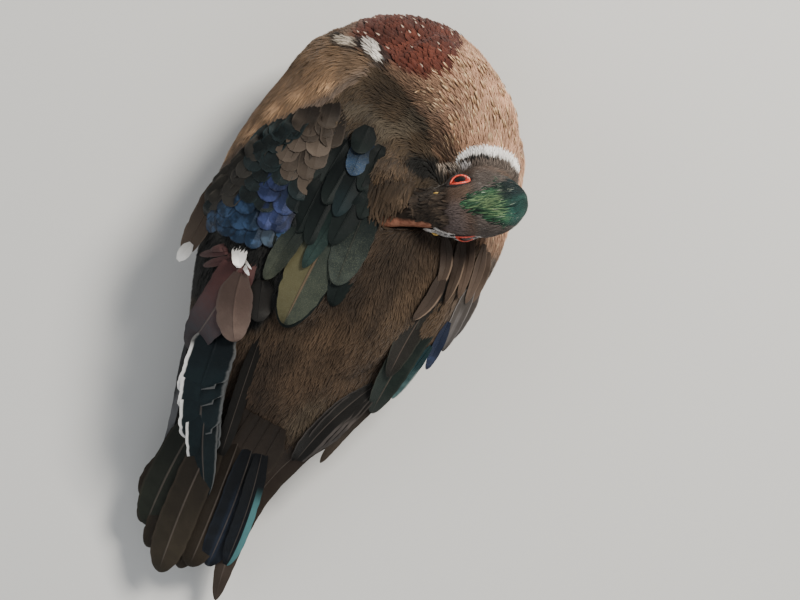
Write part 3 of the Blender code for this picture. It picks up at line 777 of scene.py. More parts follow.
    def _paint_shoulder(self, c: Canvas) -> None:
        """Painted shade under the left wing's feathers, the loose fold over the bill and painted shadow in
        the gap by it.

        Args:
            c: the canvas.
        """
        points = c.points
        x, y, z = points.T
        # Painted shade: near-black skin under the left wing's feathers, which shows in the gaps between them.
        ground = ease(x, c.edge - 1, c.edge + 2) * (1 - ease(x, 6, 12)) * within(y, -76, 42, 3)
        inner = np.interp(y, [-76, -60, -20, 42], [-22, -18, 10, 12])
        ground = ground * (1 - ease(x - inner, -3, 3)) * ease(z, 44, 52)
        c.lay(ground, Tract.DARK.but((6, 6, 6), (10, 10, 9), long=5.0))
        fold = self.near_fold(points)
        c.lay(fold, Tract.FOLD)
        tuft = fold * ease(grain(points, 6.0, 16), 0.1, 0.5)
        c.lay(tuft * 0.5, Tract.FOLD.but((34, 27, 22), (66, 52, 41)))
        head, _ = self.near_head(points)
        # Painted shadow: the deep gap between the fold and the cheek is painted near black.
        far = spot(x, y, (17.5, 44.8), (12.5, 5.8), 14) + c.luck[:, 0] * 0.2
        gap = (1 - ease(far, 0.85, 1.4)) * ease(z, 90, 96)
        c.lay(gap * (1 - head), Tract.DARK.but((4, 4, 3), (7, 6, 5)))

    def _paint_collar(self, c: Canvas) -> None:
        """The white collar with the painted shade of the crease along it, and the dark hair inside it.

        Args:
            c: the canvas.
        """
        points, luck = c.points, c.luck
        x, y, z = points.T
        far, where = stroke(x, y, COLLAR)
        centre = np.array([47.0, 52.0])
        inside = np.hypot(x - centre[0], y - centre[1]) < np.interp(
            where, [0, 0.35, 0.7, 1.0], [17.0, 16.6, 17.6, 19.5])
        there = ease(z, 76, 84) * ease(x, 26.5, 29)
        wave = (luck[:, 0] - 0.5) * 0.7
        hair = Tract.FACE.but((72, 56, 46), (130, 104, 88), long=3.6, apart=0.7)
        ring = (1 - ease(far, 12.0, 15.0)) * inside * there
        c.lay(ring, hair)
        # Painted shade: the black line beside the collar is the crease between the head's jowl and the neck.
        black = (1 - ease(np.abs(far + wave - 3.1), 0.55, 1.1)) * inside * there
        black = black * (1 - ease(where, 0.6, 0.72))
        c.lay(black, Tract.DARK.but(long=2.6, wide=0.8, apart=0.7))
        half = np.interp(where, [0, 0.12, 0.3, 0.8, 1.0], [0.9, 1.7, 2.3, 2.4, 1.4])
        c.lay((1 - ease(far + wave - half, -0.35, 0.35)) * there, Tract.THROAT)
        blob = (1 - ease(spot(x, y, (35.4, 55.4), (3.0, 1.7), 50) + wave * 0.3, 0.8, 1.2)) * ease(z, 98, 102)
        c.lay(blob, Tract.THROAT.but((420, 380, 370), (620, 580, 570)))
        cheek = (1 - ease(spot(x, y, (27.5, 50.0), (6.5, 3.0), 28) + wave * 0.2, 0.7, 1.2)) * ease(z, 86, 92)
        c.lay(cheek, hair.but((240, 190, 150), (520, 430, 350)))
        c.lay(cheek * (luck[:, 1] < 0.25), hair.but((30, 24, 18), (60, 48, 38)))

    def _paint_head(self, c: Canvas) -> None:
        """The dark face, the glossy crown and the white throat.

        Args:
            c: the canvas.
        """
        points, luck = c.points, c.luck
        head, own = self.near_head(points)
        ahead, left, up = own.T
        wave = grain(points, 4.0, 9) * 1.2 + (luck[:, 0] - 0.5) * 1.6
        c.lay(head, Tract.FACE)
        pale = head * within(ahead, -2, 12, 5) * ease(up, 6, 12) * ease(left, -9, -3)
        c.lay(pale * 0.8, Tract.FACE.but((78, 60, 57), (112, 90, 86)))
        # Painted shade: the front of the face by the bill, reaching further back on the right side, is
        # painted near black.
        lores = head * ease(ahead + 4.0 * ease(-left, 4, 8), 8, 13)
        c.lay(lores * 0.92, Tract.FACE.but((12, 8, 5), (20, 13, 8)))
        lower = head * (1 - ease(ahead, -9, -3)) * ease(up, -10, -2)
        c.lay(lower, Tract.FACE.but((70, 56, 48), (125, 102, 90), long=4.2))
        mottled = lower * (luck[:, 2] < 0.16)
        c.lay(mottled, Tract.FACE.but((180, 155, 138), (320, 285, 260), long=5.0))
        middle = np.interp(ahead, [-30, -20, -13, -6, 1], [0, -1.8, -2.6, -4.4, -4.6])
        half = np.interp(ahead, [-30, -20, -13, -6, 1], [12.5, 12.5, 9.0, 5.5, 1.4])
        chance = 0.12 + 0.76 * luck[:, 3]
        crown = head * (ease(np.abs(left - middle) + wave, half - 2.6, half + 2.2) < chance)
        crown = crown * (ease(ahead + wave, -4, 4) < chance) * ease(up, -9, -4)
        c.lay(crown, Tract.CROWN)
        # Painted highlight: bright sunlit green laid on the middle of the crown.
        sheen = crown * ease(luck[:, 1], 0.35, 0.7) * within(ahead, -22, -3, 3)
        sheen = sheen * (1 - ease(np.abs(left - middle), half * 0.35, half * 0.8))
        c.lay(sheen, Tract.CROWN.but((50, 115, 58), (300, 440, 200), gloss=0.12))
        black = crown * (luck[:, 2] < 0.22 + 0.5 * ease(np.abs(left - middle), half * 0.4, half))
        c.lay(black, Tract.CROWN.but((4, 10, 8), (7, 20, 15), gloss=0.2))
        blue = crown * ease(-ahead, 18, 26) * (luck[:, 2] > 0.2)
        c.lay(blue * 0.85, Tract.CROWN.but((6, 26, 27), (18, 78, 72)))
        far_side = crown * ease(-ahead, 14, 22) * (1 - ease(left, -7, -2)) * (luck[:, 2] > 0.12)
        c.lay(far_side * 0.9, Tract.CROWN.but((4, 10, 12), (7, 20, 23)))
        fringe = head * (1 - ease(ahead, -31, -27)) * (1 - crown)
        c.lay(fringe * 0.8, Tract.CROWN.but((10, 16, 16), (20, 32, 32)))
        # Painted glints: a few crown hairs are painted near white as gleams of light.
        glint_hairs = crown * (luck[:, 1] < 0.03) * ease(-ahead, 2, 9)
        c.lay(glint_hairs, Tract.CROWN.but((160, 190, 130), (460, 500, 400), gloss=0.0, wide=0.4))
        self._paint_throat(c, head, own, wave)

    def _paint_throat(self, c: Canvas, head: Array, own: Array, wave: Array) -> None:
        """The white throat, the mottled right cheek, the pale line under the left eye and the eyes' rims.

        Args:
            c: the canvas.
            head: how much each place belongs to the head.
            own: the places in mm in the head's frame.
            wave: a ragged number for each place.
        """
        ahead, left, up = own.T
        throat = head * (1 - ease(up + wave * 0.7, -11.5, -9.0)) * within(ahead, -17, 14, 3)
        c.lay(throat, Tract.THROAT)
        cheek = head * within(ahead + wave, 1, 19, 2.5) * (1 - ease(up + wave, -4.5, -1.5)) * (left < 0)
        grey = Tract.FACE.but((150, 130, 115), (300, 265, 240), long=3.4)
        c.lay(cheek * 0.85, grey)
        c.lay(cheek * (c.luck[:, 1] < 0.4), grey.but((50, 42, 36), (90, 76, 66)))
        for frame_of in EYES.values():
            seen = frame_of.from_head(own)
            rim = np.hypot(seen[:, 0] / 1.3, seen[:, 1])
            dark = head * (1 - ease(rim, 4.6, 6.6)) * (seen[:, 2] > 0)
            c.lay(dark * 0.85, Tract.FACE.but((18, 13, 11), (28, 21, 18), long=2.0))
        height = np.interp(ahead, [-7, 0, 7, 15], [4.4, 4.0, 5.2, 4.6])
        near = 1 - ease(np.abs(up - height) + wave * 0.3, 1.7, 2.8)
        line = head * (left > 0) * near * within(ahead, -8, 16, 1)
        c.lay(line, Tract.THROAT.but((500, 460, 420), (800, 760, 720), long=2.6))


PLUMAGE = Plumage()


# The finishes


@dataclass(frozen=True)
class FeatherFinish:
    """Feathers whose colours, marks and gloss are stored on the mesh."""

    name: str
    roughness: float = 0.62
    barbs: float = 0.00022
    sheen: float = 0.06
    specular: float = 0.2
    metal: float = 0.35

    def build(self) -> Material:
        """Makes the material.

        Returns:
            The material.
        """
        s = Shading(self.name)
        vane = s.attribute("vane", "Vector")
        across, along, length = vane.part(0), vane.part(1), vane.part(2)
        side = across.call("ABSOLUTE")
        marks = s.attribute("marks", "Vector")
        finish = s.attribute("finish", "Vector")
        gloss, speckle, chance = finish.part(0), finish.part(1), finish.part(2)
        broad = s.attribute("marks", "Alpha")
        fine, cloud = s.noise(0.0011, 2.0), s.noise(0.006, 3.0)
        wobble = (fine - 0.5) * 0.25
        patchy = 1.0 - gloss * 1.3 * (1.0 - cloud.ease(0.42, 0.6))
        colour = s.mix(s.attribute("tone"), s.attribute("tip"), (along + wobble).ease(0.3, 0.9) * patchy)
        tip_spot = marks.part(0) * (along + wobble * 0.4).ease(0.58, 0.68) * (1.0 - side.ease(0.3, 0.62))
        streak = marks.part(1) * (1.0 - (side + wobble * 0.5).ease(0.1, 0.42)) * along.ease(0.3, 0.55)
        margin = side.call("MAXIMUM", ((along - 1.0) * length).ease(-0.0019, 0.0))
        thin = marks.part(2) * (margin + wobble * 0.3).ease(0.82, 0.94)
        start = broad.ease(0.85, 1.0) * 0.11 - (broad - 1.0).call("MAXIMUM", 0.0) * 0.8 + 0.74
        outer = broad.call("MINIMUM", 1.0) * (across - start).ease(-0.03, 0.04) * along.ease(0.34, 0.52)
        mask = tip_spot.call("MAXIMUM", streak).call("MAXIMUM", thin).call("MAXIMUM", outer)
        colour = s.mix(colour, s.attribute("mark"), mask)
        dots = s.noise(0.00045, 1.0).ease(0.5, 0.72) * speckle * along.ease(0.15, 0.75)
        colour = s.mix(colour, (0.16, 0.17, 0.11), dots * 0.5)
        shaft = (1.0 - side.ease(0.025, 0.07)) * length.ease(0.018, 0.03) * (1.0 - along.ease(0.86, 0.99))
        quill = s.mix((0.17, 0.14, 0.12), (0.3, 0.15, 0.06), speckle)
        colour = s.mix(colour, quill, shaft * length.ease(0.05, 0.072) * 0.38)
        turns = (along * length - side * length * 0.16) * 11000.0 + chance * 20.0
        barb = turns.call("SINE") * 0.5 + 0.5
        # Painted shade: each feather is darker towards its root, where the feathers over it shade it; the
        # cloud and the barbs vary it too.
        deep = (0.8 + along * 0.26) * (0.84 + cloud * 0.32) * (0.97 + barb * 0.06)
        colour = s.tint(colour, deep)
        height = barb * 0.35 + shaft * 1.2 + fine * 0.4
        varying = {
            "Base Color": colour,
            "Metallic": gloss * (1.0 - mask) * (1.0 - dots) * self.metal,
            "Roughness": self.roughness - gloss * 0.18 + (fine - 0.5) * 0.12,
            "Normal": s.bump(height, self.barbs),
        }
        return s.close(varying, Sheen_Weight=self.sheen, Sheen_Roughness=0.45,
                       Specular_IOR_Level=self.specular)


@dataclass(frozen=True)
class EyeFinish:
    """A wet eye with a red iris round a wide dark pupil."""

    pupil: float = 3.0
    iris: float = 4.4

    def build(self) -> Material:
        """Makes the material.

        Returns:
            The material.
        """
        s = Shading("eye")
        gaze = s.attribute("gaze", "Vector")
        far, turn = gaze.part(0), gaze.part(1)
        spokes = s.wire("ShaderNodeTexNoise", {}, {"Vector": gaze, "Scale": 2.6, "Detail": 4.0})
        bright = far.ease(self.pupil, self.iris) * spokes * 1.4
        iris = s.mix((0.2, 0.006, 0.004), (0.5, 0.035, 0.012), bright)
        iris = s.mix(iris, (0.05, 0.004, 0.003), far.ease(self.iris - 0.5, self.iris + 0.2))
        colour = s.mix((0.004, 0.003, 0.003), iris, far.ease(self.pupil - 0.18, self.pupil + 0.12))
        colour = s.tint(colour, 0.9 + turn * 0.02)
        return s.close({"Base Color": colour}, Roughness=0.34, Coat_Weight=0.22, Coat_Roughness=0.06,
                       Specular_IOR_Level=0.2)


@dataclass(frozen=True)
class LidFinish:
    """The bare orange-red ring of the lids, wrinkled across, with pale grains at its rear corner."""

    def build(self) -> Material:
        """Makes the material.

        Returns:
            The material.
        """
        s = Shading("lid")
        wrinkle = s.noise(0.0007, 3.0)
        rear = s.attribute("gaze", "Vector").part(0)
        colour = s.mix((0.5, 0.034, 0.018), (0.8, 0.1, 0.05), wrinkle.ease(0.35, 0.7))
        colour = s.mix(colour, (0.86, 0.5, 0.4), rear * s.noise(0.0009, 1.0).ease(0.5, 0.62))
        varying = {
            "Base Color": colour,
            "Roughness": 0.3 + wrinkle * 0.25,
            "Normal": s.bump(wrinkle, 0.0002),
        }
        return s.close(varying, Subsurface_Weight=0.12, Subsurface_Scale=0.002, Coat_Weight=0.2,
                       Coat_Roughness=0.25)


@dataclass(frozen=True)
class BillFinish:
    """Horn: near-black brown over the ridge and the right side, dull red-brown on the left."""

    def build(self) -> Material:
        """Makes the material.

        Returns:
            The material.
        """
        s = Shading("bill")
        own = s.attribute("own", "Vector")
        ahead, left, up = own.part(0), own.part(1), own.part(2)
        mottle, fine = s.noise(0.003, 4.0), s.noise(0.0006, 3.0)
        red = s.mix((0.25, 0.095, 0.056), (0.4, 0.175, 0.105), mottle.ease(0.35, 0.7))
        ridge = 1.0 - (left + (mottle - 0.5) * 3.0 - (up - 2.0) * 0.15 + (ahead - 20.0) * 0.12).ease(3.6, 6.2)
        colour = s.mix(red, (0.016, 0.01, 0.006), ridge)
        colour = s.mix(colour, (0.014, 0.011, 0.01), ahead.ease(45.0, 48.5))
        growth = (ahead * 3.1 + (mottle - 0.5) * 5.0).call("SINE") * 0.5 + 0.5
        varying = {
            "Base Color": s.tint(colour, 0.85 + fine * 0.3),
            "Roughness": 0.55 + mottle * 0.22,
            "Normal": s.bump(fine * 0.5 + growth * 0.35, 0.00012),
        }
        return s.close(varying, Specular_IOR_Level=0.2)


@dataclass(frozen=True)
class GrainFinish:
    """Bare horn or skin with a fine grain between two colours."""

    name: str
    dark: Colour
    light: Colour
    size: float
    lightest: float
    rough: Pair

    def build(self) -> Material:
        """Makes the material.

        Returns:
            The material.
        """
        s = Shading(self.name)
        fine = s.noise(self.size, 3.0)
        varying = {
            "Base Color": s.mix(self.dark, self.light, fine.ease(0.35, self.lightest)),
            "Roughness": fine * self.rough[1] + self.rough[0],
            "Normal": s.bump(fine, 0.0001),
        }
        return s.close(varying)


BILL_EDGE = GrainFinish("bill_edge", (0.46, 0.27, 0.045), (0.7, 0.48, 0.14), 0.0008, 0.65, (0.4, 0.2))
CLAW = GrainFinish("claw", (0.018, 0.013, 0.01), (0.06, 0.042, 0.03), 0.0012, 0.75, (0.28, 0.15))


@dataclass(frozen=True)
class FootFinish:
    """Scaly skin: dull yellow toes with dark webs."""

    def build(self) -> Material:
        """Makes the material.

        Returns:
            The material.
        """
        s = Shading("foot_skin")
        ridge = s.attribute("ridge", "Vector")
        toe, along = ridge.part(0), ridge.part(1)
        cells = s.wire("ShaderNodeTexVoronoi", {"feature": "DISTANCE_TO_EDGE"},
                       {"Vector": s.place(), "Scale": 900.0})
        mottle = s.noise(0.004, 4.0)
        skin = s.mix((0.3, 0.17, 0.045), (0.46, 0.3, 0.1), mottle.ease(0.3, 0.7))
        web = s.mix((0.04, 0.032, 0.028), (0.085, 0.066, 0.052), mottle)
        scutes = (along * 5.2).call("SINE").ease(-0.9, 0.2) * toe + (1.0 - toe) * 0.5
        seams = cells.ease(0.0, 0.18)
        colour = s.tint(s.mix(web, skin, toe.ease(0.15, 0.5)), (0.55 + scutes * 0.45) * (0.7 + seams * 0.3))
        varying = {
            "Base Color": colour,
            "Roughness": 0.45 + mottle * 0.25,
            "Normal": s.bump(scutes * 0.7 + seams * 0.3, 0.0004),
        }
        return s.close(varying, Specular_IOR_Level=0.45)


@dataclass(frozen=True)
class FloorFinish:
    """A plain pale floor."""

    def build(self) -> Material:
        """Makes the material.

        Returns:
            The material.
        """
        s = Shading("floor")
        colour = s.mix((0.6, 0.6, 0.585), (0.66, 0.66, 0.645), s.noise(0.6, 2.0))
        return s.close({"Base Color": colour}, Roughness=0.8, Specular_IOR_Level=0.2)


# Meshes


def put(name: str, data: bpy.types.ID | None) -> Piece:
    """A new object in the scene.

    Args:
        name: its name.
        data: its mesh, lamp or camera.

    Returns:
        The object.
    """
    made = bpy.data.objects.new(name, data)
    bpy.context.scene.collection.objects.link(made)
    return made


def mesh_object(name: str, points: Array, faces: list, smooth: bool = True) -> Piece:
    """An object at the origin with its place in its mesh.

    Args:
        name: the piece's name.
        points: places in metres in the row frame.
        faces: the corners of each face.
        smooth: shades the faces smooth.

    Returns:
        The object, linked to the scene.
    """
    mesh = bpy.data.meshes.new(name)
    mesh.from_pydata(np.asarray(points).tolist(), [], faces)
    mesh.validate()
    if smooth:
        mesh.shade_smooth()
    return put(name, mesh)


def turn_out(piece: Piece, triangles: bool = False) -> None:
    """Turns a closed mesh's faces outwards, and cuts them into triangles if asked.

    Args:
        piece: the piece.
        triangles: also cuts them into triangles.
    """
    build = bmesh.new()
    build.from_mesh(piece.data)
    if triangles:
        bmesh.ops.triangulate(build, faces=build.faces)
    bmesh.ops.recalc_face_normals(build, faces=build.faces)
    build.to_mesh(piece.data)
    build.free()


def store(mesh: Mesh, name: str, values: Array) -> None:
    """Stores numbers on a mesh's points.

    Args:
        mesh: the mesh.
        name: the attribute's name.
        values: a row of three numbers, or of four for a colour with a fourth number, for each point.
    """
    kind, key = ("FLOAT_COLOR", "color") if values.shape[1] == 4 else ("FLOAT_VECTOR", "vector")
    made = mesh.attributes.new(name, kind, "POINT")
    made.data.foreach_set(key, np.asarray(values, np.float32).ravel())


def store_coat(mesh: Mesh, coat: Rows, vane: Array | None = None) -> None:
    """Stores a coat's colours, marks, finish and, if given, vane coordinates on a mesh's points.

    Args:
        mesh: the mesh.
        coat: the coat.
        vane: the vane's own coordinates, if any.
    """
    for name in ("tone", "tip", "mark"):
        store(mesh, name, np.concatenate([coat[name], np.ones((len(coat[name]), 1))], axis=1))
    store(mesh, "marks", coat["marks"])
    store(mesh, "finish", coat["finish"])
    if vane is not None:
        store(mesh, "vane", vane)


def plain_coat(look: Look, count: int, chance: float = 0.5) -> Rows:
    """One look for a number of points."""
    return {key: np.tile(np.array(value, float), (count, 1)) for key, value in look.rows(chance).items()}


def evaluated_mesh(thing: Piece) -> Mesh:
    """The mesh that an object's modifiers make, with its attributes.

    Args:
        thing: the object.

    Returns:
        A new mesh.
    """
    bpy.context.view_layer.update()
    graph = bpy.context.evaluated_depsgraph_get()
    return bpy.data.meshes.new_from_object(
        thing.evaluated_get(graph), preserve_all_data_layers=True, depsgraph=graph
    )


def read(items: bpy.types.bpy_prop_collection, key: str, width: int, kind: type = np.float32) -> Array:
    """One property of all of a mesh's items as an array.

    Args:
        items: the points, corners or faces.
        key: the property.
        width: how many numbers it has.
        kind: their type.

    Returns:
        A row for each item, or a number if the width is 1.
    """
    values = np.empty(len(items) * width, kind)
    items.foreach_get(key, values)
    return values.reshape(-1, width) if width > 1 else values


def read_points(mesh: Mesh) -> Array:
    """A mesh's points as an array."""
    return read(mesh.vertices, "co", 3).astype(float)


def read_normals(mesh: Mesh) -> Array:
    """A mesh's point normals as an array."""
    return read(mesh.vertex_normals, "vector", 3).astype(float)


def read_triangles(mesh: Mesh) -> Array:
    """A mesh's triangles as an array of point numbers."""
    mesh.calc_loop_triangles()
    return read(mesh.loop_triangles, "vertices", 3, np.int32)


def set_chart(mesh: Mesh, chart: Array) -> None:
    """Stores a place on the chart for each corner of a mesh."""
    layer = mesh.uv_layers.new(name="OFBake")
    layer.data.foreach_set("uv", chart.astype(np.float32).ravel())


def join_nodes(name: str, nodes: tuple[str, ...]) -> Piece:
    """One object with copies of several solids' meshes, merged where they are loose.

    Args:
        name: the object's name.
        nodes: the solids.

    Returns:
        The object.
    """
    build = bmesh.new()
    for node in nodes:
        build.from_mesh(frame["nodes"][node].data)
    bmesh.ops.remove_doubles(build, verts=build.verts, dist=1e-5)
    mesh = bpy.data.meshes.new(name)
    build.to_mesh(mesh)
    build.free()
    return put(name, mesh)


def tube(centres: Array, radii: Array, level: Array, rise: Array, sides: int) -> tuple[Array, list]:
    """A closed round bar along a line of centres.

    Args:
        centres: the middle of each ring.
        radii: each ring's half width along level and along rise.
        level: the direction across the bar.
        rise: the direction up from it, one for all rings or one each.
        sides: how many points are in a ring.

    Returns:
        The points and the faces.
    """
    turns = 2 * np.pi * np.arange(sides) / sides
    rise = np.broadcast_to(rise, centres.shape)
    level = np.broadcast_to(level, centres.shape)
    points = (
        centres[:, None]
        + level[:, None] * np.sin(turns)[None, :, None] * radii[:, 0, None, None]
        + rise[:, None] * np.cos(turns)[None, :, None] * radii[:, 1, None, None]
    )
    return points.reshape(-1, 3), ring_faces(len(centres), sides)


def ring_faces(rings: int, sides: int, closed: bool = False) -> list[tuple[int, ...]]:
    """The faces between rings of points, with a cap at each end or joined end to end.

    Args:
        rings: how many rings there are.
        sides: how many points are in each.
        closed: joins the last ring to the first.

    Returns:
        The corners of each face.
    """
    faces = []
    for i in range(rings if closed else rings - 1):
        for k in range(sides):
            a, b = i * sides + k, i * sides + (k + 1) % sides
            after = ((i + 1) % rings - i) * sides
            faces.append((a, b, b + after, a + after))
    if not closed:
        faces += [tuple(reversed(range(sides))), tuple(range((rings - 1) * sides, rings * sides))]
    return faces


def hand_in(piece: Piece, finish: Material | None, slot: str, *nodes: str) -> Piece:
    """Gives a piece its material, attaches it to the body and hides the solids that it replaces.

    Args:
        piece: the finished piece.
        finish: its material, or None if it has its own.
        slot: a material slot's name, which is not used.
        nodes: the solids that it replaces.

    Returns:
        The piece.
    """
    if finish is not None:
        piece.data.materials.clear()
        piece.data.materials.append(finish)
    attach(piece, BODY)
    if nodes:
        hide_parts(*nodes)
    LOG.info("%s: %d faces", piece.name, len(piece.data.polygons))
    return piece


class Ground:
    """A surface that feathers are laid on."""

    HIGH, LOW = 200.0, 60.0

    def __init__(self, mesh: Mesh) -> None:
        """Prepares a mesh in the row frame for questions about its surface."""
        self.tree = BVHTree.FromPolygons(read_points(mesh).tolist(), read_triangles(mesh).tolist())

    @classmethod
    def of(cls, *nodes: str) -> "Ground":
        """The surface of several solids together.

        Args:
            nodes: the solids.

        Returns:
            The surface.
        """
        body = join_nodes("ground", nodes)
        made = cls(body.data)
        bpy.data.objects.remove(body)
        return made

    def top(self, x: float, y: float) -> float:
        """The height of the surface over a place, in mm in the bird's frame, or no number beside it."""
        hit = self.tree.ray_cast(Vector(PLACE.to_row([x, y, self.HIGH])), Vector((0, 0, -1)))[0]
        return math.nan if hit is None else PLACE.to_bird(hit)[2]

    def beside(self, x: float, y: float) -> float:
        """The height of the surface nearest to a place beside it, in mm in the bird's frame."""
        return PLACE.to_bird(self.near(PLACE.to_row([x, y, self.LOW]))[0])[2]

    def near(self, point: Array) -> tuple[Array, Array, float]:
        """The nearest place on the surface, its outward direction and its distance, all in metres."""
        place, normal, _, far = self.tree.find_nearest(Vector(point))
        return np.array(place), np.array(normal), far


def unwrap(points: Array, normals: Array) -> Array:
    """Places on an unwrap of the skin into six flat charts, one for each way that it faces.

    Args:
        points: places in metres in the row frame.
        normals: the skin's outward directions there.

    Returns:
        A place on the chart for each point.
    """
    low_corner, scale, border = np.array([-0.1, -0.19, -0.01]), 1.38, 0.02
    own = (points - low_corner) * scale
    facing = np.abs(normals).argmax(axis=1)
    positive = np.take_along_axis(normals, facing[:, None], 1)[:, 0] > 0
    across = np.choose(facing, [own[:, 1], own[:, 0], own[:, 1]])
    upward = np.choose(facing, [own[:, 2], own[:, 2], own[:, 0]])
    corner_u = np.where(positive, 0.0, np.where(facing == 1, 0.32, 0.52))
    corner_v = np.choose(facing, [0.3, 0.52, 0.0])
    return as_rows(across + corner_u, upward + corner_v) * 0.92 + border


# The skin


@dataclass
class Skin:
    """One skin for trunk, neck and head, set inside the outline by the coat's depth."""

    solids: tuple[str, ...] = (
        *FLESH, "head", "flank_left", "flank_right", "mantle_fold", "wing_left_coverts",
        "wing_left_scapulars", "wing_right_coverts", "wing_right_scapulars",
    )
    voxel: float = 0.0015
    depth: float = 0.0016
    head_depth: float = 0.0008
    rounds: int = 14
    lowest: float = 0.0016
    piece: Piece = field(init=False)

    def build(self) -> None:
        """Fuses the solids, smooths them and draws the skin in."""
        joined = join_nodes("skin", self.solids)
        fuse = joined.modifiers.new("fuse", "REMESH")
        fuse.mode = "VOXEL"
        fuse.voxel_size = self.voxel
        even = joined.modifiers.new("even", "SMOOTH")
        even.factor = 0.5
        even.iterations = self.rounds
        mesh = evaluated_mesh(joined)
        joined.modifiers.clear()
        joined.data = mesh
        build = bmesh.new()
        build.from_mesh(mesh)
        bmesh.ops.triangulate(build, faces=build.faces)
        self._keep_outside(build)
        build.to_mesh(mesh)
        build.free()
        points, normals = read_points(mesh), read_normals(mesh)
        head, own = PLUMAGE.near_head(PLACE.to_bird(points))
        points -= normals * (self.depth + (self.head_depth - self.depth) * head)[:, None]
        points += normals * (self._face_relief(own) * head)[:, None] * MM
        points[:, 2] = np.maximum(points[:, 2], self.lowest)
        mesh.vertices.foreach_set("co", points.astype(np.float32).ravel())
        mesh.update()
        mesh.shade_smooth()
        self.piece = joined

    @staticmethod
    def _keep_outside(build: bmesh.types.BMesh) -> None:
        """Deletes the small sealed shells that fusing leaves inside.

        Args:
            build: the skin's mesh.
        """
        left = set(build.verts)
        shells = []
        while left:
            shell, border = set(), [left.pop()]
            while border:
                point = border.pop()
                shell.add(point)
                others = {edge.other_vert(point) for edge in point.link_edges} & left
                left -= others
                border += others
            shells.append(shell)
        for shell in sorted(shells, key=len)[:-1]:
            bmesh.ops.delete(build, geom=list(shell), context="VERTS")

    @staticmethod
    def _face_relief(own: Array) -> Array:
        """How far the face stands out from a plain egg, in mm: brow, cheek and the hollow of the lores.

        Args:
            own: the places in mm in the head's frame.

        Returns:
            The height at each place.
        """
        ahead, left, up = own.T
        side = np.abs(left)
        brow = 0.6 * np.exp(-(((ahead - 1) / 7) ** 2) - ((up - 10.5) / 2.6) ** 2)
        cheek = 0.8 * np.exp(-(((ahead + 6) / 7) ** 2) - ((up + 7) / 5) ** 2) * (side > 6)
        lores = -0.9 * np.exp(-(((ahead - 11) / 4.5) ** 2) - ((up - 1) / 3.5) ** 2) * (side > 5)
        socket = -0.5 * np.exp(-((ahead / 6.5) ** 2) - ((up - 4.3) / 5) ** 2) * (side > 8)
        return brow + cheek + lores + socket

    def dress(self, finish: Material) -> None:
        """Paints the skin with the plumage's colours, unwraps it and hands it in.

        Args:
            finish: the material.
        """
        mesh = self.piece.data
        points, normals = read_points(mesh), read_normals(mesh)
        coat = PLUMAGE.paint(PLACE.to_bird(points), normals)
        # Painted shade: the skin shows only between the feathers, so its base colour is painted a tenth
        # darker.
        coat["tone"] *= 0.9
        coat["marks"][:] = 0.0
        store_coat(mesh, coat, np.tile([0.0, 0.4, 0.0], (len(points), 1)))
        corners = read(mesh.loops, "vertex_index", 1, np.int32)
        facing = np.repeat(read(mesh.polygons, "normal", 3), 3, axis=0)
        set_chart(mesh, unwrap(points[corners], facing))
        hand_in(self.piece, finish, "body_plumage", *self.solids)


# The coat of small feathers


class Vane(Enum):
    """The shapes of a small feather: how its half width runs from root to tip, and its points across."""

    HAIR = (((0.0, 0.5), (0.3, 1.0), (0.66, 0.78), (1.0, 0.0)), (-1.0, 0.0, 1.0))
    SCALE = (((0.0, 0.4), (0.3, 0.92), (0.6, 1.0), (0.85, 0.8), (1.0, 0.3)), (-1.0, -0.5, 0.0, 0.5, 1.0))


def vane_mesh(shape: Vane) -> Piece:
    """A closed thin vane of length 1 along Y and half width 1 across X, with its own coordinates stored.

    Args:
        shape: which vane.

    Returns:
        An object that isn't part of the bird. The third coordinate is 1 on the arched upper side.
    """
    stations, across = shape.value
    points, own = [], []
    for along, half in stations:
        for s in across if half else (0.0,):
            ragged = 0.07 * math.cos(s * 9.0) - 0.05 * s * s if shape is Vane.SCALE and along > 0.8 else 0.0
            points.append((s * half, along + ragged, 1.0 - s * s))
            own.append((s, along, 1.0 - s * s))
    width = len(across)
    whole = len(stations) - (0 if stations[-1][1] else 1)
    faces = ring_faces(whole, width)
    if whole < len(stations):
        last = (whole - 1) * width
        faces[-1:] = [(last + k, last + (k + 1) % width, len(points) - 1) for k in range(width)]
    made = mesh_object(f"vane_{shape.name.lower()}", points, faces)
    turn_out(made, triangles=True)
    made.data.shade_smooth()
    made.data.set_sharp_from_angle(angle=math.radians(75))
    store(made.data, "vane", np.array(own))
    bpy.context.scene.collection.objects.unlink(made)
    return made


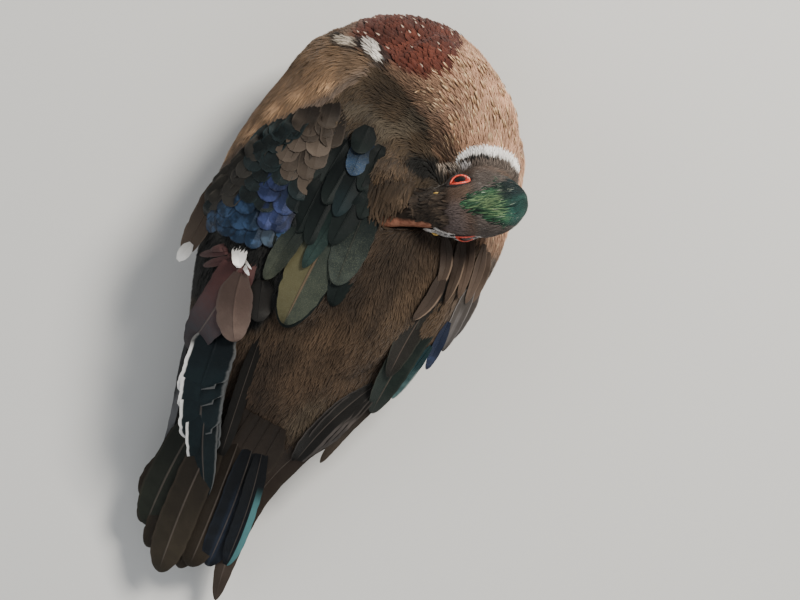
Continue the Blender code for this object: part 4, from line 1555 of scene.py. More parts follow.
class CoatTree:
    """The Geometry Nodes tree that sets a vane on each root and lays it along the skin."""

    SIZES = {"Root height": 0.0002, "Tip height": 0.0016, "Thickness": 0.00035, "Patch": 0.003, "Hug": 1.0}

    def __init__(self) -> None:
        """Builds the tree."""
        self.tree = bpy.data.node_groups.new("coat", "GeometryNodeTree")
        face = self.tree.interface
        face.new_socket("Roots", in_out="INPUT", socket_type="NodeSocketGeometry")
        self.sockets = {}
        for name, kind in (("Vane", "Object"), ("Skin", "Object"), ("Finish", "Material")):
            made = face.new_socket(name, in_out="INPUT", socket_type=f"NodeSocket{kind}")
            self.sockets[name] = made.identifier
        for name, value in self.SIZES.items():
            made = face.new_socket(name, in_out="INPUT", socket_type="NodeSocketFloat")
            made.default_value = value
            self.sockets[name] = made.identifier
        face.new_socket("Coat", in_out="OUTPUT", socket_type="NodeSocketGeometry")
        self._fill()

    @staticmethod
    def _named(s: Sheet, name: str) -> Wire:
        """A vector attribute of the geometry."""
        return s.wire("GeometryNodeInputNamedAttribute", {"data_type": "FLOAT_VECTOR"}, {"Name": name})

    def _fill(self) -> None:
        """Adds the nodes."""
        s = Sheet(self.tree)
        entry = s.node("NodeGroupInput")
        given = {socket.name: Wire(s, socket) for socket in entry.outputs if socket.name}
        vane = s.wire("GeometryNodeObjectInfo", {}, {"Object": given["Vane"]}, "Geometry")
        skin = s.wire("GeometryNodeObjectInfo", {}, {"Object": given["Skin"]}, "Geometry")
        turned = s.wire("FunctionNodeAlignRotationToVector", {"axis": "Y"}, {"Vector": self._named(s, "lie")})
        turned = s.wire("FunctionNodeAlignRotationToVector", {"axis": "Z", "pivot_axis": "Y"},
                        {"Rotation": turned, "Vector": self._named(s, "rise")})
        placed = s.wire("GeometryNodeInstanceOnPoints", {}, {
            "Points": given["Roots"], "Instance": vane, "Rotation": turned, "Scale": self._named(s, "span")})
        real = s.wire("GeometryNodeRealizeInstances", {}, {"Geometry": placed})
        own = self._named(s, "vane")
        across, along, arch = own.part(0), own.part(1), own.part(2)
        span, chance = self._named(s, "span"), self._named(s, "finish").part(2)
        position = s.wire("GeometryNodeInputPosition")
        near = s.wire("GeometryNodeProximity", {"target_element": "FACES"},
                      {0: skin, "Sample Position": position}, "Position")
        outward = s.wire("GeometryNodeSampleNearestSurface", {"data_type": "FLOAT_VECTOR"},
                         {"Mesh": skin, "Value": s.wire("GeometryNodeInputNormal"), "Sample Position": near})
        climb = given["Root height"] + (given["Tip height"] - given["Root height"]) * (along ** 0.8)
        height = climb * (0.55 + chance * 0.9) + arch * given["Thickness"]
        laid = near + outward.call("NORMALIZE") * height
        target = laid + (position - laid) * (1.0 - given["Hug"]) * along
        moved = s.wire("GeometryNodeSetPosition", {}, {"Geometry": real, "Position": target})
        whole = s.wire("ShaderNodeCombineXYZ", {}, {0: across, 1: along, 2: span.part(1)})
        kept = s.wire("GeometryNodeStoreNamedAttribute", {"data_type": "FLOAT_VECTOR", "domain": "POINT"},
                      {"Geometry": moved, "Name": "vane", "Value": whole})
        patch = s.wire("ShaderNodeCombineXYZ", {}, {0: across * 0.5, 1: along, 2: 0.0}) * given["Patch"]
        mapped = s.wire("GeometryNodeStoreNamedAttribute", {"data_type": "FLOAT2", "domain": "CORNER"},
                        {"Geometry": kept, "Name": "OFBake", "Value": self._named(s, "chart") + patch})
        dressed = s.wire("GeometryNodeSetMaterial", {}, {"Geometry": mapped, "Material": given["Finish"]})
        s.node("NodeGroupOutput", {}, {"Coat": dressed})


@dataclass(frozen=True)
class Pile:
    """How one kind of vane stands on the skin, in mm."""

    shape: Vane
    root: float
    tip: float
    thick: float
    hug: float = 1.0


@dataclass
class Coat:
    """All the small feathers, in pieces by tract."""

    skin: Skin
    finish: Material
    limit: int = 190000
    tried: float = 5.0
    bill_gap: float = 0.0016
    lid_ahead: float = 0.9
    lid_long: float = 1.35
    lid_reach: float = 4.3

    def scatter(self) -> tuple[Array, Array]:
        """Spreads roots over the skin, each kept clear of the others by the spacing of its tract.

        Returns:
            The roots in the row frame, and the skin's outward directions there.
        """
        mesh = self.skin.piece.data
        points, normals, corners = read_points(mesh), read_normals(mesh), read_triangles(mesh)
        a, b, c = (points[corners[:, k]] for k in range(3))
        across = np.cross(b - a, c - a)
        area = np.linalg.norm(across, axis=1) / 2
        apart = PLUMAGE.paint(PLACE.to_bird((a + b + c) / 3), unit(across))["size"][:, 2] * MM
        wanted = area / apart**2 * self.tried
        luck = np.random.default_rng(SEED)
        count = int(wanted.sum())
        chosen = luck.choice(len(corners), size=count, p=wanted / wanted.sum())
        u, v = luck.random(count), luck.random(count)
        over = u + v > 1
        u[over], v[over] = 1 - u[over], 1 - v[over]
        share = as_rows(1 - u - v, u, v)[:, :, None]
        roots = (points[corners[chosen]] * share).sum(axis=1)
        facing = unit((normals[corners[chosen]] * share).sum(axis=1))
        kept = self._thin(roots, apart[chosen])
        LOG.info("roots: %d of %d", len(kept), count)
        return roots[kept], facing[kept]

    @staticmethod
    def _thin(roots: Array, apart: Array) -> list[int]:
        """Picks roots, in order, that aren't too near one already picked.

        Args:
            roots: the roots.
            apart: how far each keeps others off, in metres.

        Returns:
            The numbers of the roots that are kept.
        """
        tree = KDTree(len(roots))
        for number, root in enumerate(roots.tolist()):
            tree.insert(root, number)
        tree.balance()
        gone = np.zeros(len(roots), bool)
        kept = []
        for number, root in enumerate(roots.tolist()):
            if gone[number]:
                continue
            kept.append(number)
            gone[[other for _, other, _ in tree.find_range(root, float(apart[number]))]] = True
        return kept

    def grow(self) -> None:
        """Makes every piece of the coat."""
        tree = CoatTree()
        vanes = {shape: vane_mesh(shape) for shape in Vane}
        roots, facing = self.scatter()
        bird = PLACE.to_bird(roots)
        lie = PLUMAGE.lie(bird, facing)
        luck = np.random.default_rng(SEED + 1)
        lie = unit(lie + np.cross(facing, lie) * luck.normal(0, 0.13, (len(roots), 1)))
        size = PLUMAGE.paint(bird, facing)["size"]
        coat = PLUMAGE.paint(bird + lie * size[:, :1] * 0.55, facing)
        long, wide = size[:, 0], size[:, 1]
        coat["size"] = size
        span = as_rows(wide * 0.5, long, np.full(len(roots), 0.3)) * MM
        head, own = PLUMAGE.near_head(bird)
        clear = self._clear_of_bare(roots, own, head)
        for name, (chosen, pile) in self._groups(bird, head, wide < 2.0).items():
            chosen = np.flatnonzero(chosen & clear)
            if not len(chosen):
                continue
            chosen = chosen[np.argsort(bird[chosen, 1], kind="stable")]
            faces = len(chosen) * len(vanes[pile.shape].data.polygons)
            parts = np.array_split(chosen, math.ceil(faces / self.limit))
            for number, part in enumerate(parts):
                rows = {key: value[part] for key, value in coat.items()}
                extra = {"lie": lie[part], "rise": facing[part], "span": span[part]}
                label = f"{name}_{number + 1}" if len(parts) > 1 else name
                self._piece(label, roots[part], facing[part], rows, extra, tree, vanes[pile.shape], pile)

    def _clear_of_bare(self, roots: Array, own: Array, head: Array) -> Array:
        """True for roots that aren't on the eyes, the lids or the bill.

        Args:
            roots: the roots in the row frame.
            own: the places in mm in the head's frame.
            head: how much each place belongs to the head.

        Returns:
            True or False for each root.
        """
        clear = np.ones(len(own), bool)
        for frame_of in EYES.values():
            seen = frame_of.from_head(own)
            bare = np.hypot((seen[:, 0] - self.lid_ahead) / self.lid_long, seen[:, 1]) < self.lid_reach
            clear &= ~((head > 0.3) & bare & (seen[:, 2] > 0))
        bill = Ground.of("bill_upper", "bill_lower")
        box = (own[:, 0] > 16.5) & (own[:, 0] < 53) & (np.abs(own[:, 1]) < 12) & (np.abs(own[:, 2]) < 14)
        for number in np.flatnonzero(box):
            clear[number] = bill.near(roots[number])[2] > self.bill_gap
        return clear

    @staticmethod
    def _groups(bird: Array, head: Array, hair: Array) -> dict[str, tuple[Array, Pile]]:
        """Which roots go into which piece, and how they stand there.

        Args:
            bird: the roots in mm in the bird's frame.
            head: how much each place belongs to the head.
            hair: True for narrow feathers.

        Returns:
            The roots and their pile, by the piece's name.
        """
        x, y, z = bird.T
        fold = PLUMAGE.near_fold(bird) > 0.5
        rest = (head <= 0.5) & ~fold
        front = y > 58
        fine, scaly = Pile(Vane.HAIR, 0.2, 1.05, 0.14), Pile(Vane.SCALE, 0.2, 1.6, 0.3)
        return {
            "coat_head": (head > 0.5, Pile(Vane.HAIR, 0.12, 0.65, 0.1)),
            "coat_fold": (fold, Pile(Vane.HAIR, 0.3, 2.0, 0.14, 0.45)),
            "coat_neck": (rest & hair & front, fine),
            "coat_mantle": (rest & hair & ~front & (y > 10), fine),
            "coat_back": (rest & hair & (y <= 10) & (y > -55), fine),
            "coat_rump": (rest & hair & (y <= -55), fine),
            "coat_breast": (rest & ~hair & front & (z > 14), Pile(Vane.SCALE, 0.2, 1.3, 0.3)),
            "coat_left": (rest & ~hair & ~front & (x < -5) & (z > 22), scaly),
            "coat_right": (rest & ~hair & ~front & (x >= -5) & (z > 22), scaly),
            "coat_belly": (rest & ~hair & (z <= np.where(front, 14, 22)), Pile(Vane.SCALE, 0.1, 0.8, 0.3)),
        }

    def _piece(
        self, name: str, roots: Array, facing: Array, coat: Rows, extra: Rows,
        tree: CoatTree, vane: Piece, pile: Pile,
    ) -> None:
        """Makes one piece of the coat with the tree and hands it in.

        Args:
            name: the piece's name.
            roots: its roots.
            facing: the skin's outward directions there.
            coat: their looks.
            extra: their directions and sizes.
            tree: the tree.
            vane: the vane.
            pile: how the vanes stand.
        """
        piece = mesh_object(name, roots, [])
        store_coat(piece.data, coat)
        for key, values in extra.items():
            store(piece.data, key, values)
        chart = unwrap(roots, facing)
        store(piece.data, "chart", np.concatenate([chart, np.zeros((len(chart), 1))], axis=1))
        grow = piece.modifiers.new("grow", "NODES")
        grow.node_group = tree.tree
        values = {"Vane": vane, "Skin": self.skin.piece, "Finish": self.finish, "Root height": pile.root * MM,
                  "Tip height": pile.tip * MM, "Thickness": pile.thick * MM, "Hug": pile.hug}
        for key, value in values.items():
            grow[tree.sockets[key]] = value
        mesh = evaluated_mesh(piece)
        piece.modifiers.clear()
        piece.data = mesh
        mesh.name = name
        for key in ("lie", "rise", "span", "chart"):
            if key in mesh.attributes:
                mesh.attributes.remove(mesh.attributes[key])
        hand_in(piece, None, "head_plumage" if "head" in name else "body_plumage")


# Long feathers


@dataclass(frozen=True)
class Quill:
    """One long feather, in mm in the bird's frame.

    A root or a tip of three numbers is a place, and one of two numbers is a place over the body. Seen from
    above, its outer side is on its left as it points, or on its right if it is flipped.
    """

    root: tuple[float, ...]
    tip: tuple[float, ...]
    wide: float
    look: Look
    lift: Pair = (0.0, 0.6)
    bow: float = 0.0
    point: float = 0.35
    shaft: float = 0.0
    flip: bool = False
    arch: float = 0.16
    slant: float = 0.0
    blunt: float = 0.03


@dataclass
class QuillBed:
    """Long feathers laid on the body and joined into one piece."""

    name: str
    quills: list[Quill]
    ground: Ground
    slot: str = "wing_plumage"
    replaced: tuple[str, ...] = ()
    steps: int = 30
    across: tuple[float, ...] = (-1.0, -0.7, -0.38, -0.07, 0.0, 0.07, 0.38, 0.7, 1.0)
    under: tuple[float, ...] = (0.7, 0.38, 0.0, -0.38, -0.7)
    thick: float = 0.34
    lowest: float = 0.4
    free_slope: float = -0.15
    longest_drop: float = 6.0
    steepest: Pair = (-1.0, 1.3)
    taut_rounds: int = 80
    slope_rounds: int = 14

    def _path(self, quill: Quill, shares: Array) -> Array:
        """The shaft's line: straight or bowed, taut over the body and straight beyond it.

        Args:
            quill: the feather.
            shares: how far along it, from 0 to 1.

        Returns:
            A place for each share.
        """
        root, tip = np.array(quill.root[:2]), np.array(quill.tip[:2])
        flat = root + (tip - root) * shares[:, None]
        aside = np.array([-(tip - root)[1], (tip - root)[0]])
        flat = flat + aside * (quill.bow * np.sin(np.pi * shares))[:, None]
        lifts = quill.lift[0] + (quill.lift[1] - quill.lift[0]) * shares
        floor = np.array([self.ground.top(x, y) for x, y in flat]) + lifts
        known = floor[~np.isnan(floor)]
        if not len(known):
            known = [self.ground.beside(*flat[len(flat) // 2])]
        floor = np.where(np.isnan(floor), self.lowest, floor)
        start = quill.root[2] if len(quill.root) == 3 else known[0]
        end = quill.tip[2] if len(quill.tip) == 3 else known[-1]
        line = np.maximum(start + (end - start) * shares, floor)
        for _ in range(self.taut_rounds):
            line[1:-1] = np.maximum((line[:-2] + line[2:]) / 2, floor[1:-1])
        return np.column_stack([flat, line])

    def _tilt(self, path: Array, sides: Array, reach: Array) -> Array:
        """How steeply the body falls off on each side of the shaft, for each side.

        Args:
            path: the shaft's line.
            sides: the outward directions across it.
            reach: half widths.

        Returns:
            The slopes on the inner and the outer side.
        """
        slopes = np.full((len(path), 2), self.free_slope)
        for k, (point, side) in enumerate(zip(path, sides)):
            here = self.ground.top(point[0], point[1])
            for column, sign in enumerate((-1, 1)):
                step = sign * max(reach[k], 1.0) * 0.8
                rise = self.ground.top(point[0] + side[0] * step, point[1] + side[1] * step) - here
                if rise >= -self.longest_drop:
                    slopes[k, column] = np.clip(rise / abs(step), *self.steepest)
        for _ in range(self.slope_rounds):
            slopes[1:-1] = (slopes[:-2] + 2 * slopes[1:-1] + slopes[2:]) / 4
        return slopes

    def _lay(self, quill: Quill, number: int) -> tuple[Array, list, Rows]:
        """One feather's points, faces and stored numbers.

        Args:
            quill: the feather.
            number: its number in the bed.

        Returns:
            The points, the faces and the numbers by name.
        """
        luck = np.random.default_rng(SEED + number)
        shares = 1 - (1 - np.linspace(0, 1, self.steps)) ** 1.5
        path = self._path(quill, shares)
        along = unit(np.gradient(path, axis=0))
        sides = unit(as_rows(-along[:, 1], along[:, 0], np.zeros(len(along))))
        if quill.flip:
            sides = -sides
        rounded = np.clip((1 - shares) / max(quill.point, 0.05), 0, 1)
        profile = (0.3 + 0.7 * ease(shares, -0.12, 0.36)) * (1 - (1 - rounded) ** 2.2) ** 0.55
        reach = quill.wide / 2 * np.maximum(profile, quill.blunt)
        slopes = self._tilt(path, sides, reach)
        length = np.linalg.norm(path[-1] - path[0])
        ragged = np.sin(shares * length * 1.9 + number) * 0.012
        ragged = ragged + np.sin(shares * length * 0.7 + number * 2) * 0.02
        long = np.full(self.steps, length * MM)
        notches = luck.uniform(0.35, 0.97, (2, 2))
        depths = luck.uniform(0.0, 0.07, (2, 2))
        rows, vane = [], []
        for top_side, across in ((True, self.across), (False, self.under)):
            for s in across:
                column = int(s > 0)
                cuts = np.exp(-(((shares[:, None] - notches[column]) / 0.014) ** 2)) @ depths[column]
                room = 1 + (quill.shaft if s > 0 else -quill.shaft) + (ragged - cuts) * s * s
                away = s * reach * room
                height = slopes[:, column] * np.abs(away) - quill.arch * np.abs(s) ** 1.7 * reach * 0.5
                ridge = 0.22 * (1 - shares) if s == 0 and top_side else 0.0
                drop = 0.0 if top_side else -self.thick * (1 - s * s)
                points = path + sides * away[:, None]
                points += along * (quill.slant * s * quill.wide / 2 * ease(shares, 0.45, 1.0))[:, None]
                points[:, 2] = np.maximum(points[:, 2] + height + ridge + drop, self.lowest)
                rows.append(points)
                vane.append(as_rows(np.full(self.steps, s), shares, long))
        points = np.stack(rows, axis=1).reshape(-1, 3)
        coat = plain_coat(quill.look, len(points), (number * 0.37) % 1)
        coat["vane"] = np.stack(vane, axis=1).reshape(-1, 3)
        return points, ring_faces(self.steps, len(rows)), coat

    def build(self, finish: Material) -> Piece:
        """Makes the piece, gives each feather its own cell of the chart and hands it in.

        Args:
            finish: the material.

        Returns:
            The piece.
        """
        points, faces, coats = [], [], []
        for number, quill in enumerate(self.quills):
            own, ring, coat = self._lay(quill, number)
            start = number * len(own)
            faces += [tuple(k + start for k in face) for face in ring]
            points.append(own)
            coats.append(coat)
        piece = mesh_object(self.name, PLACE.to_row(np.concatenate(points)), faces)
        turn_out(piece, triangles=True)
        mesh = piece.data
        coat = {key: np.concatenate([c[key] for c in coats]) for key in coats[0]}
        store_coat(mesh, coat, coat["vane"])
        columns = max(1, math.ceil(math.sqrt(len(self.quills) * 3)))
        rows = math.ceil(len(self.quills) / columns)
        cell = np.repeat(np.arange(len(self.quills)), len(points[0]))
        u = (cell % columns + 0.5 + 0.42 * coat["vane"][:, 0]) / columns
        v = (cell // columns + 0.04 + 0.92 * coat["vane"][:, 1]) / rows
        set_chart(mesh, as_rows(u, v)[read(mesh.loops, "vertex_index", 1, np.int32)])
        mesh.shade_smooth()
        mesh.set_sharp_from_angle(angle=math.radians(60))
        return hand_in(piece, finish, self.slot, *self.replaced)


class Vanes:
    """The looks of the long feathers."""

    BLACKISH = Look((12, 11, 10), (15, 14, 13), gloss=0.1)
    TEAL = Look((4, 7, 9), (8, 15, 18), (740, 730, 710), (0, 0, 0.13, 1.0), 0.15)
    BLUE = Look((6, 12, 22), (26, 52, 104), (6, 6, 8), (0, 0, 0.5, 0), 0.6)
    COBALT = Look((8, 12, 28), (34, 47, 122), (6, 6, 10), (0, 0, 0.5, 0), 0.5)
    SLATE = Look((6, 8, 8), (10, 15, 16), (18, 32, 34), (0, 0, 0.35, 0), 0.4)
    GREYBROWN = Look((26, 20, 16), (62, 48, 37), (80, 63, 49), (0, 0, 0.3, 0))
    DARKGREY = Look((14, 13, 11), (23, 21, 18), (55, 50, 42), (0, 0, 0.4, 0))
    MAROON = Look((85, 36, 34), (46, 45, 50), (110, 85, 75), (0, 0, 0.3, 0), 0.12)
    SCAPULAR = Look((5, 7, 7), (9, 13, 12), (20, 20, 20), speckle=0.15, gloss=0.2)
    BROWN = Look((56, 38, 27), (70, 50, 36), (150, 110, 80), (0, 0, 0.3, 0))
    RECTRIX = Look((20, 15, 11), (30, 23, 16), (70, 54, 40), (0, 0, 0.2, 0), 0.1)
    WHITE = Look((620, 600, 570), (800, 780, 750))


@dataclass
class Wing:
    """What both wings share: a method for each tract, which are laid from the deepest to the top."""

    side: str = ""
    tracts: tuple[str, ...] = ("primaries", "secondaries", "tertials", "coverts")
    under_coverts: tuple[str, ...] = ()

    def build(self, finish: Material) -> None:
        """Makes the wing's pieces.

        Args:
            finish: the material.
        """
        under = FLESH
        for tract in self.tracts:
            node = f"wing_{self.side}_{tract}"
            under += (node, *(self.under_coverts if tract == "coverts" else ()))
            replaced = () if node in Skin.solids else (node,)
            quills, ground = getattr(self, tract)(), Ground.of(*under)
            QuillBed(f"{self.side}_{tract}", quills, ground, replaced=replaced).build(finish)


@dataclass
class LeftWing(Wing):
    """The left wing, loosely fanned: scapulars, coverts, tertials, secondaries and primaries."""

    side: str = "left"
    tracts: tuple[str, ...] = ("primaries", "secondaries", "tertials", "coverts", "scapulars")
    covert_rows: tuple[Line, ...] = (
        ((-62, 20), (-52, 30), (-40, 38)),
        ((-69, 9), (-58, 20), (-45, 27), (-33, 30)),
        ((-75, -4), (-64, 6), (-52, 12), (-35, 16)),
        ((-80, -18), (-70, -6), (-58, 3), (-45, 4), (-32, 2)),
        ((-80, -27), (-72, -18), (-61, -10), (-49, -4), (-34, -9)),
        ((-78, -33), (-69, -29), (-60, -23), (-50, -17), (-40, -20)),
        ((-72, -40), (-64, -38), (-55, -38), (-46, -37), (-38, -32), (-33, -25)),
    )

    def _tips(self) -> list[Line]:
        """The rows of tips, with a staggered row between each two.

        Returns:
            The rows, from the front.
        """
        made = []
        for front, behind in zip(self.covert_rows, self.covert_rows[1:]):
            count = max(len(front), len(behind))
            shares = (np.arange(count) + 0.25) / (count - 0.5)
            middle = np.zeros((count, 2))
            for row in (front, behind):
                line = np.array(row)
                at = np.linspace(0, 1, len(line))
                middle += 0.5 * np.stack([np.interp(shares, at, line[:, k]) for k in (0, 1)], axis=1)
            made += [front, tuple((float(x), float(y)) for x, y in middle)]
        return [*made, self.covert_rows[-1]]

    @staticmethod
    def _covert_look(x: float, y: float) -> Look:
        """The look of a covert whose tip is at a place.

        Args:
            x: the place across.
            y: the place along.

        Returns:
            The look.
        """
        if x < -69 and y > -30:
            return Vanes.DARKGREY
        if x > -55 and y > 1:
            return Vanes.GREYBROWN.shaded(1 - 0.45 * float(ease(y, 22, 32)))
        if min(math.hypot(x + 48, y + 10), math.hypot(x + 40, y + 20)) < 7.0:
            return Vanes.COBALT
        if math.hypot(x + 38, y + 33) < 5:
            return Vanes.BLUE.but((24, 32, 44), (50, 75, 105))
        return Vanes.BLUE if y < -22 and x > -77 else Vanes.SLATE

    def coverts(self) -> list[Quill]:
        """Rows of blunt coverts, each row under the one in front of it.

        Returns:
            The feathers, the deepest first.
        """
        made = []
        luck = np.random.default_rng(SEED + 3)
        for number, row in reversed(list(enumerate(self._tips()))):
            for n, (x, y) in enumerate(row):
                aside = np.interp(x, [-84, -68, -52, -36], [0.42, 0.25, 0.0, -0.3 if y > 0 else -0.05])
                length = 19.0 + 2.0 * math.sin(n * 2.1 + number)
                look = self._covert_look(x, y).shaded(luck.uniform(0.62, 1.25))
                wide = (11.8 if x > -70 else 9.0) + 1.2 * math.sin(n * 1.7 + number)
                made.append(Quill((x + aside * length, y + length), (x, y), wide, look,
                                  (-0.7 + 0.05 * n, 0.55 + 0.06 * n), point=0.27, blunt=0.34, arch=0.06))
        return made

    def scapulars(self) -> list[Quill]:
        """Long rounded shoulder feathers over the wing's inner edge.

        Returns:
            The feathers, the deepest first.
        """
        dark, plain = Vanes.SCAPULAR, Vanes.SCAPULAR.but(speckle=0.0, gloss=0.15)
        olive = dark.but((24, 32, 26), (50, 58, 44), mark=(94, 85, 44), marks=(0, 0, 0, 2.0), speckle=0.6)
        grey_teal = dark.but((7, 11, 11), (36, 45, 39), speckle=0.6)
        green = dark.but((14, 19, 17), (44, 50, 38), speckle=0.4)
        teal = dark.but((7, 13, 12), (24, 44, 40), gloss=0.2)
        blue = dark.but((8, 13, 22), (24, 46, 88), speckle=0.6, gloss=0.3)
        return [
            Quill((-37, 4), (-35, -28), 13, plain, (-0.8, 0.2), point=0.5),
            Quill((-33, -2), (-29, -36), 14, plain, (-0.6, 0.3), point=0.5),
            Quill((-26, -4), (-31, -48), 12, green, (0.0, 0.9), point=0.5),
            Quill((3, 6), (7, -44), 15, plain, (-0.5, 0.2), point=0.5),
            Quill((-12, 8), (-10.6, -66), 26.5, plain, (-0.2, 0.7), point=0.5),
            Quill((-28, 16), (-27, -18), 13, plain, (0.2, 1.1), point=0.5),
            Quill((-12, 8), (-11, -64.5), 26, olive, (0.1, 1.2), point=0.52, flip=True),
            Quill((-20, 14), (-19, -21), 13, plain, (0.6, 1.7), point=0.5),
            Quill((-2, 20), (4, -33), 20, grey_teal, (0.4, 1.7), point=0.5),
            Quill((-12, 12), (-15.5, -33), 9.5, teal, (0.8, 2.0), point=0.5),
            Quill((-7, 22), (-8, -15), 14, plain, (1.0, 2.1), point=0.55),
            Quill((-27, 38), (-28, 5), 13, plain, (-0.2, 1.2), point=0.5),
            Quill((-20, 30), (-21, 2), 13, plain, (0.6, 1.9), point=0.55),
            Quill((-13, 30), (-13, -1), 12, plain.but(tip=(10, 18, 20)), (1.0, 2.2), point=0.55),
            Quill((-3, 34), (-1, 4), 12, plain, (0.8, 2.1), point=0.55),
            Quill((-18, 46), (-15.5, 22), 13, blue, (0.4, 2.3), point=0.5),
            Quill((-9, 44), (-8, 17), 11, plain, (0.6, 2.4), point=0.55),
            Quill((-20, 50), (-18.5, 34), 13, plain, (1.2, 2.9), point=0.55),
        ]

    def tertials(self) -> list[Quill]:
        """Broad maroon-grey feathers over the flight feathers, and the loose white tips.

        Returns:
            The feathers, the deepest first.
        """
        strip = Vanes.MAROON.but((60, 27, 27), (70, 37, 35))
        broad = Vanes.MAROON.but(mark=(35, 27, 27), marks=(0, 0, 0.2, 0))
        inner = Vanes.MAROON.but((85, 56, 46), (140, 98, 80))
        pale = Vanes.WHITE
        return [
            Quill((-78, -6), (-79, -58), 14, Vanes.BROWN, (0.3, 0.6), point=0.4),
            Quill((-77.5, -50), (-80.5, -62), 7.5, pale, (1.3, 1.5), point=0.6, blunt=0.4),
            Quill((-52, -46), (-65, -57.6), 4.5, strip, (0.6, 0.9), point=0.5),
            Quill((-53, -42), (-70, -53.5), 4.5, strip, (0.8, 1.2), point=0.5),
            Quill((-52, -38), (-65, -48), 4.5, strip, (1.1, 1.5), point=0.5),
            Quill((-32, -48), (-24, -70), 14, Vanes.BLACKISH, (0.2, 0.8), point=0.5),
            Quill((-46, -32), (-52.5, -102.5), 22, broad, (0.6, 1.2), bow=0.03, point=0.42),
            Quill((-43.5, -51), (-30, -85.5), 20, inner, (1.4, 1.9), bow=-0.06, point=0.5),
            Quill((-52.5, -36), (-46, -49), 8.5, pale, (4.0, 3.4), point=0.6, blunt=0.3),
            Quill((-47, -45), (-39, -50), 2.8, pale, (3.0, 2.4), point=0.8),
            Quill((-47, -43), (-39.5, -46.5), 1.6, pale, (3.2, 2.6), point=0.8),
        ]

    def secondaries(self) -> list[Quill]:
        """Dark teal flight feathers with narrow white outer edges, fanned over the rump.

        Returns:
            The feathers, the deepest first.
        """
        rows = (((-41, -80), (-35.6, -118.4), 26, 0.61, 0.0), ((-40, -80), (-31.6, -127), 25, 0.5, -0.04),
                ((-38, -80), (-24.7, -142), 24, 0.45, -0.06), ((-36, -80), (-16.1, -153.7), 20, 0.5, -0.07),
                ((-34, -80), (-5.5, -173.5), 17, 0.25, -0.08))
        made = [Quill((-20, -72), (-9, -148), 8.5, Vanes.BLACKISH, (-1.6, -1.4), point=0.3)]
        for n, (root, tip, wide, slant, bow) in reversed(list(enumerate(rows))):
            made.append(Quill(root, tip, wide, Vanes.TEAL, (0.4 - 0.2 * n, 2.6 - 0.66 * n), bow=bow,
                              point=0.11 if n < 4 else 0.35, flip=True, slant=slant,
                              blunt=0.62 if n < 4 else 0.1, arch=0.08))
        return made

    def primaries(self) -> list[Quill]:
        """The folded primaries, mostly hidden.

        Returns:
            The feathers, the deepest first.
        """
        grey = Vanes.BLACKISH.but(mark=(260, 260, 270), marks=(0, 0, 0.25, 0.6))
        return [
            Quill((-57, -85, 45.5), (-31 - n * 0.9, -184 + n * 5.5, 28.5 + n * 0.5), 13 - n, grey,
                  (-0.6 + n * 0.3, -0.4 + n * 0.3), bow=0.035 + n * 0.004, point=0.35, flip=True)
            for n in range(4)
        ]


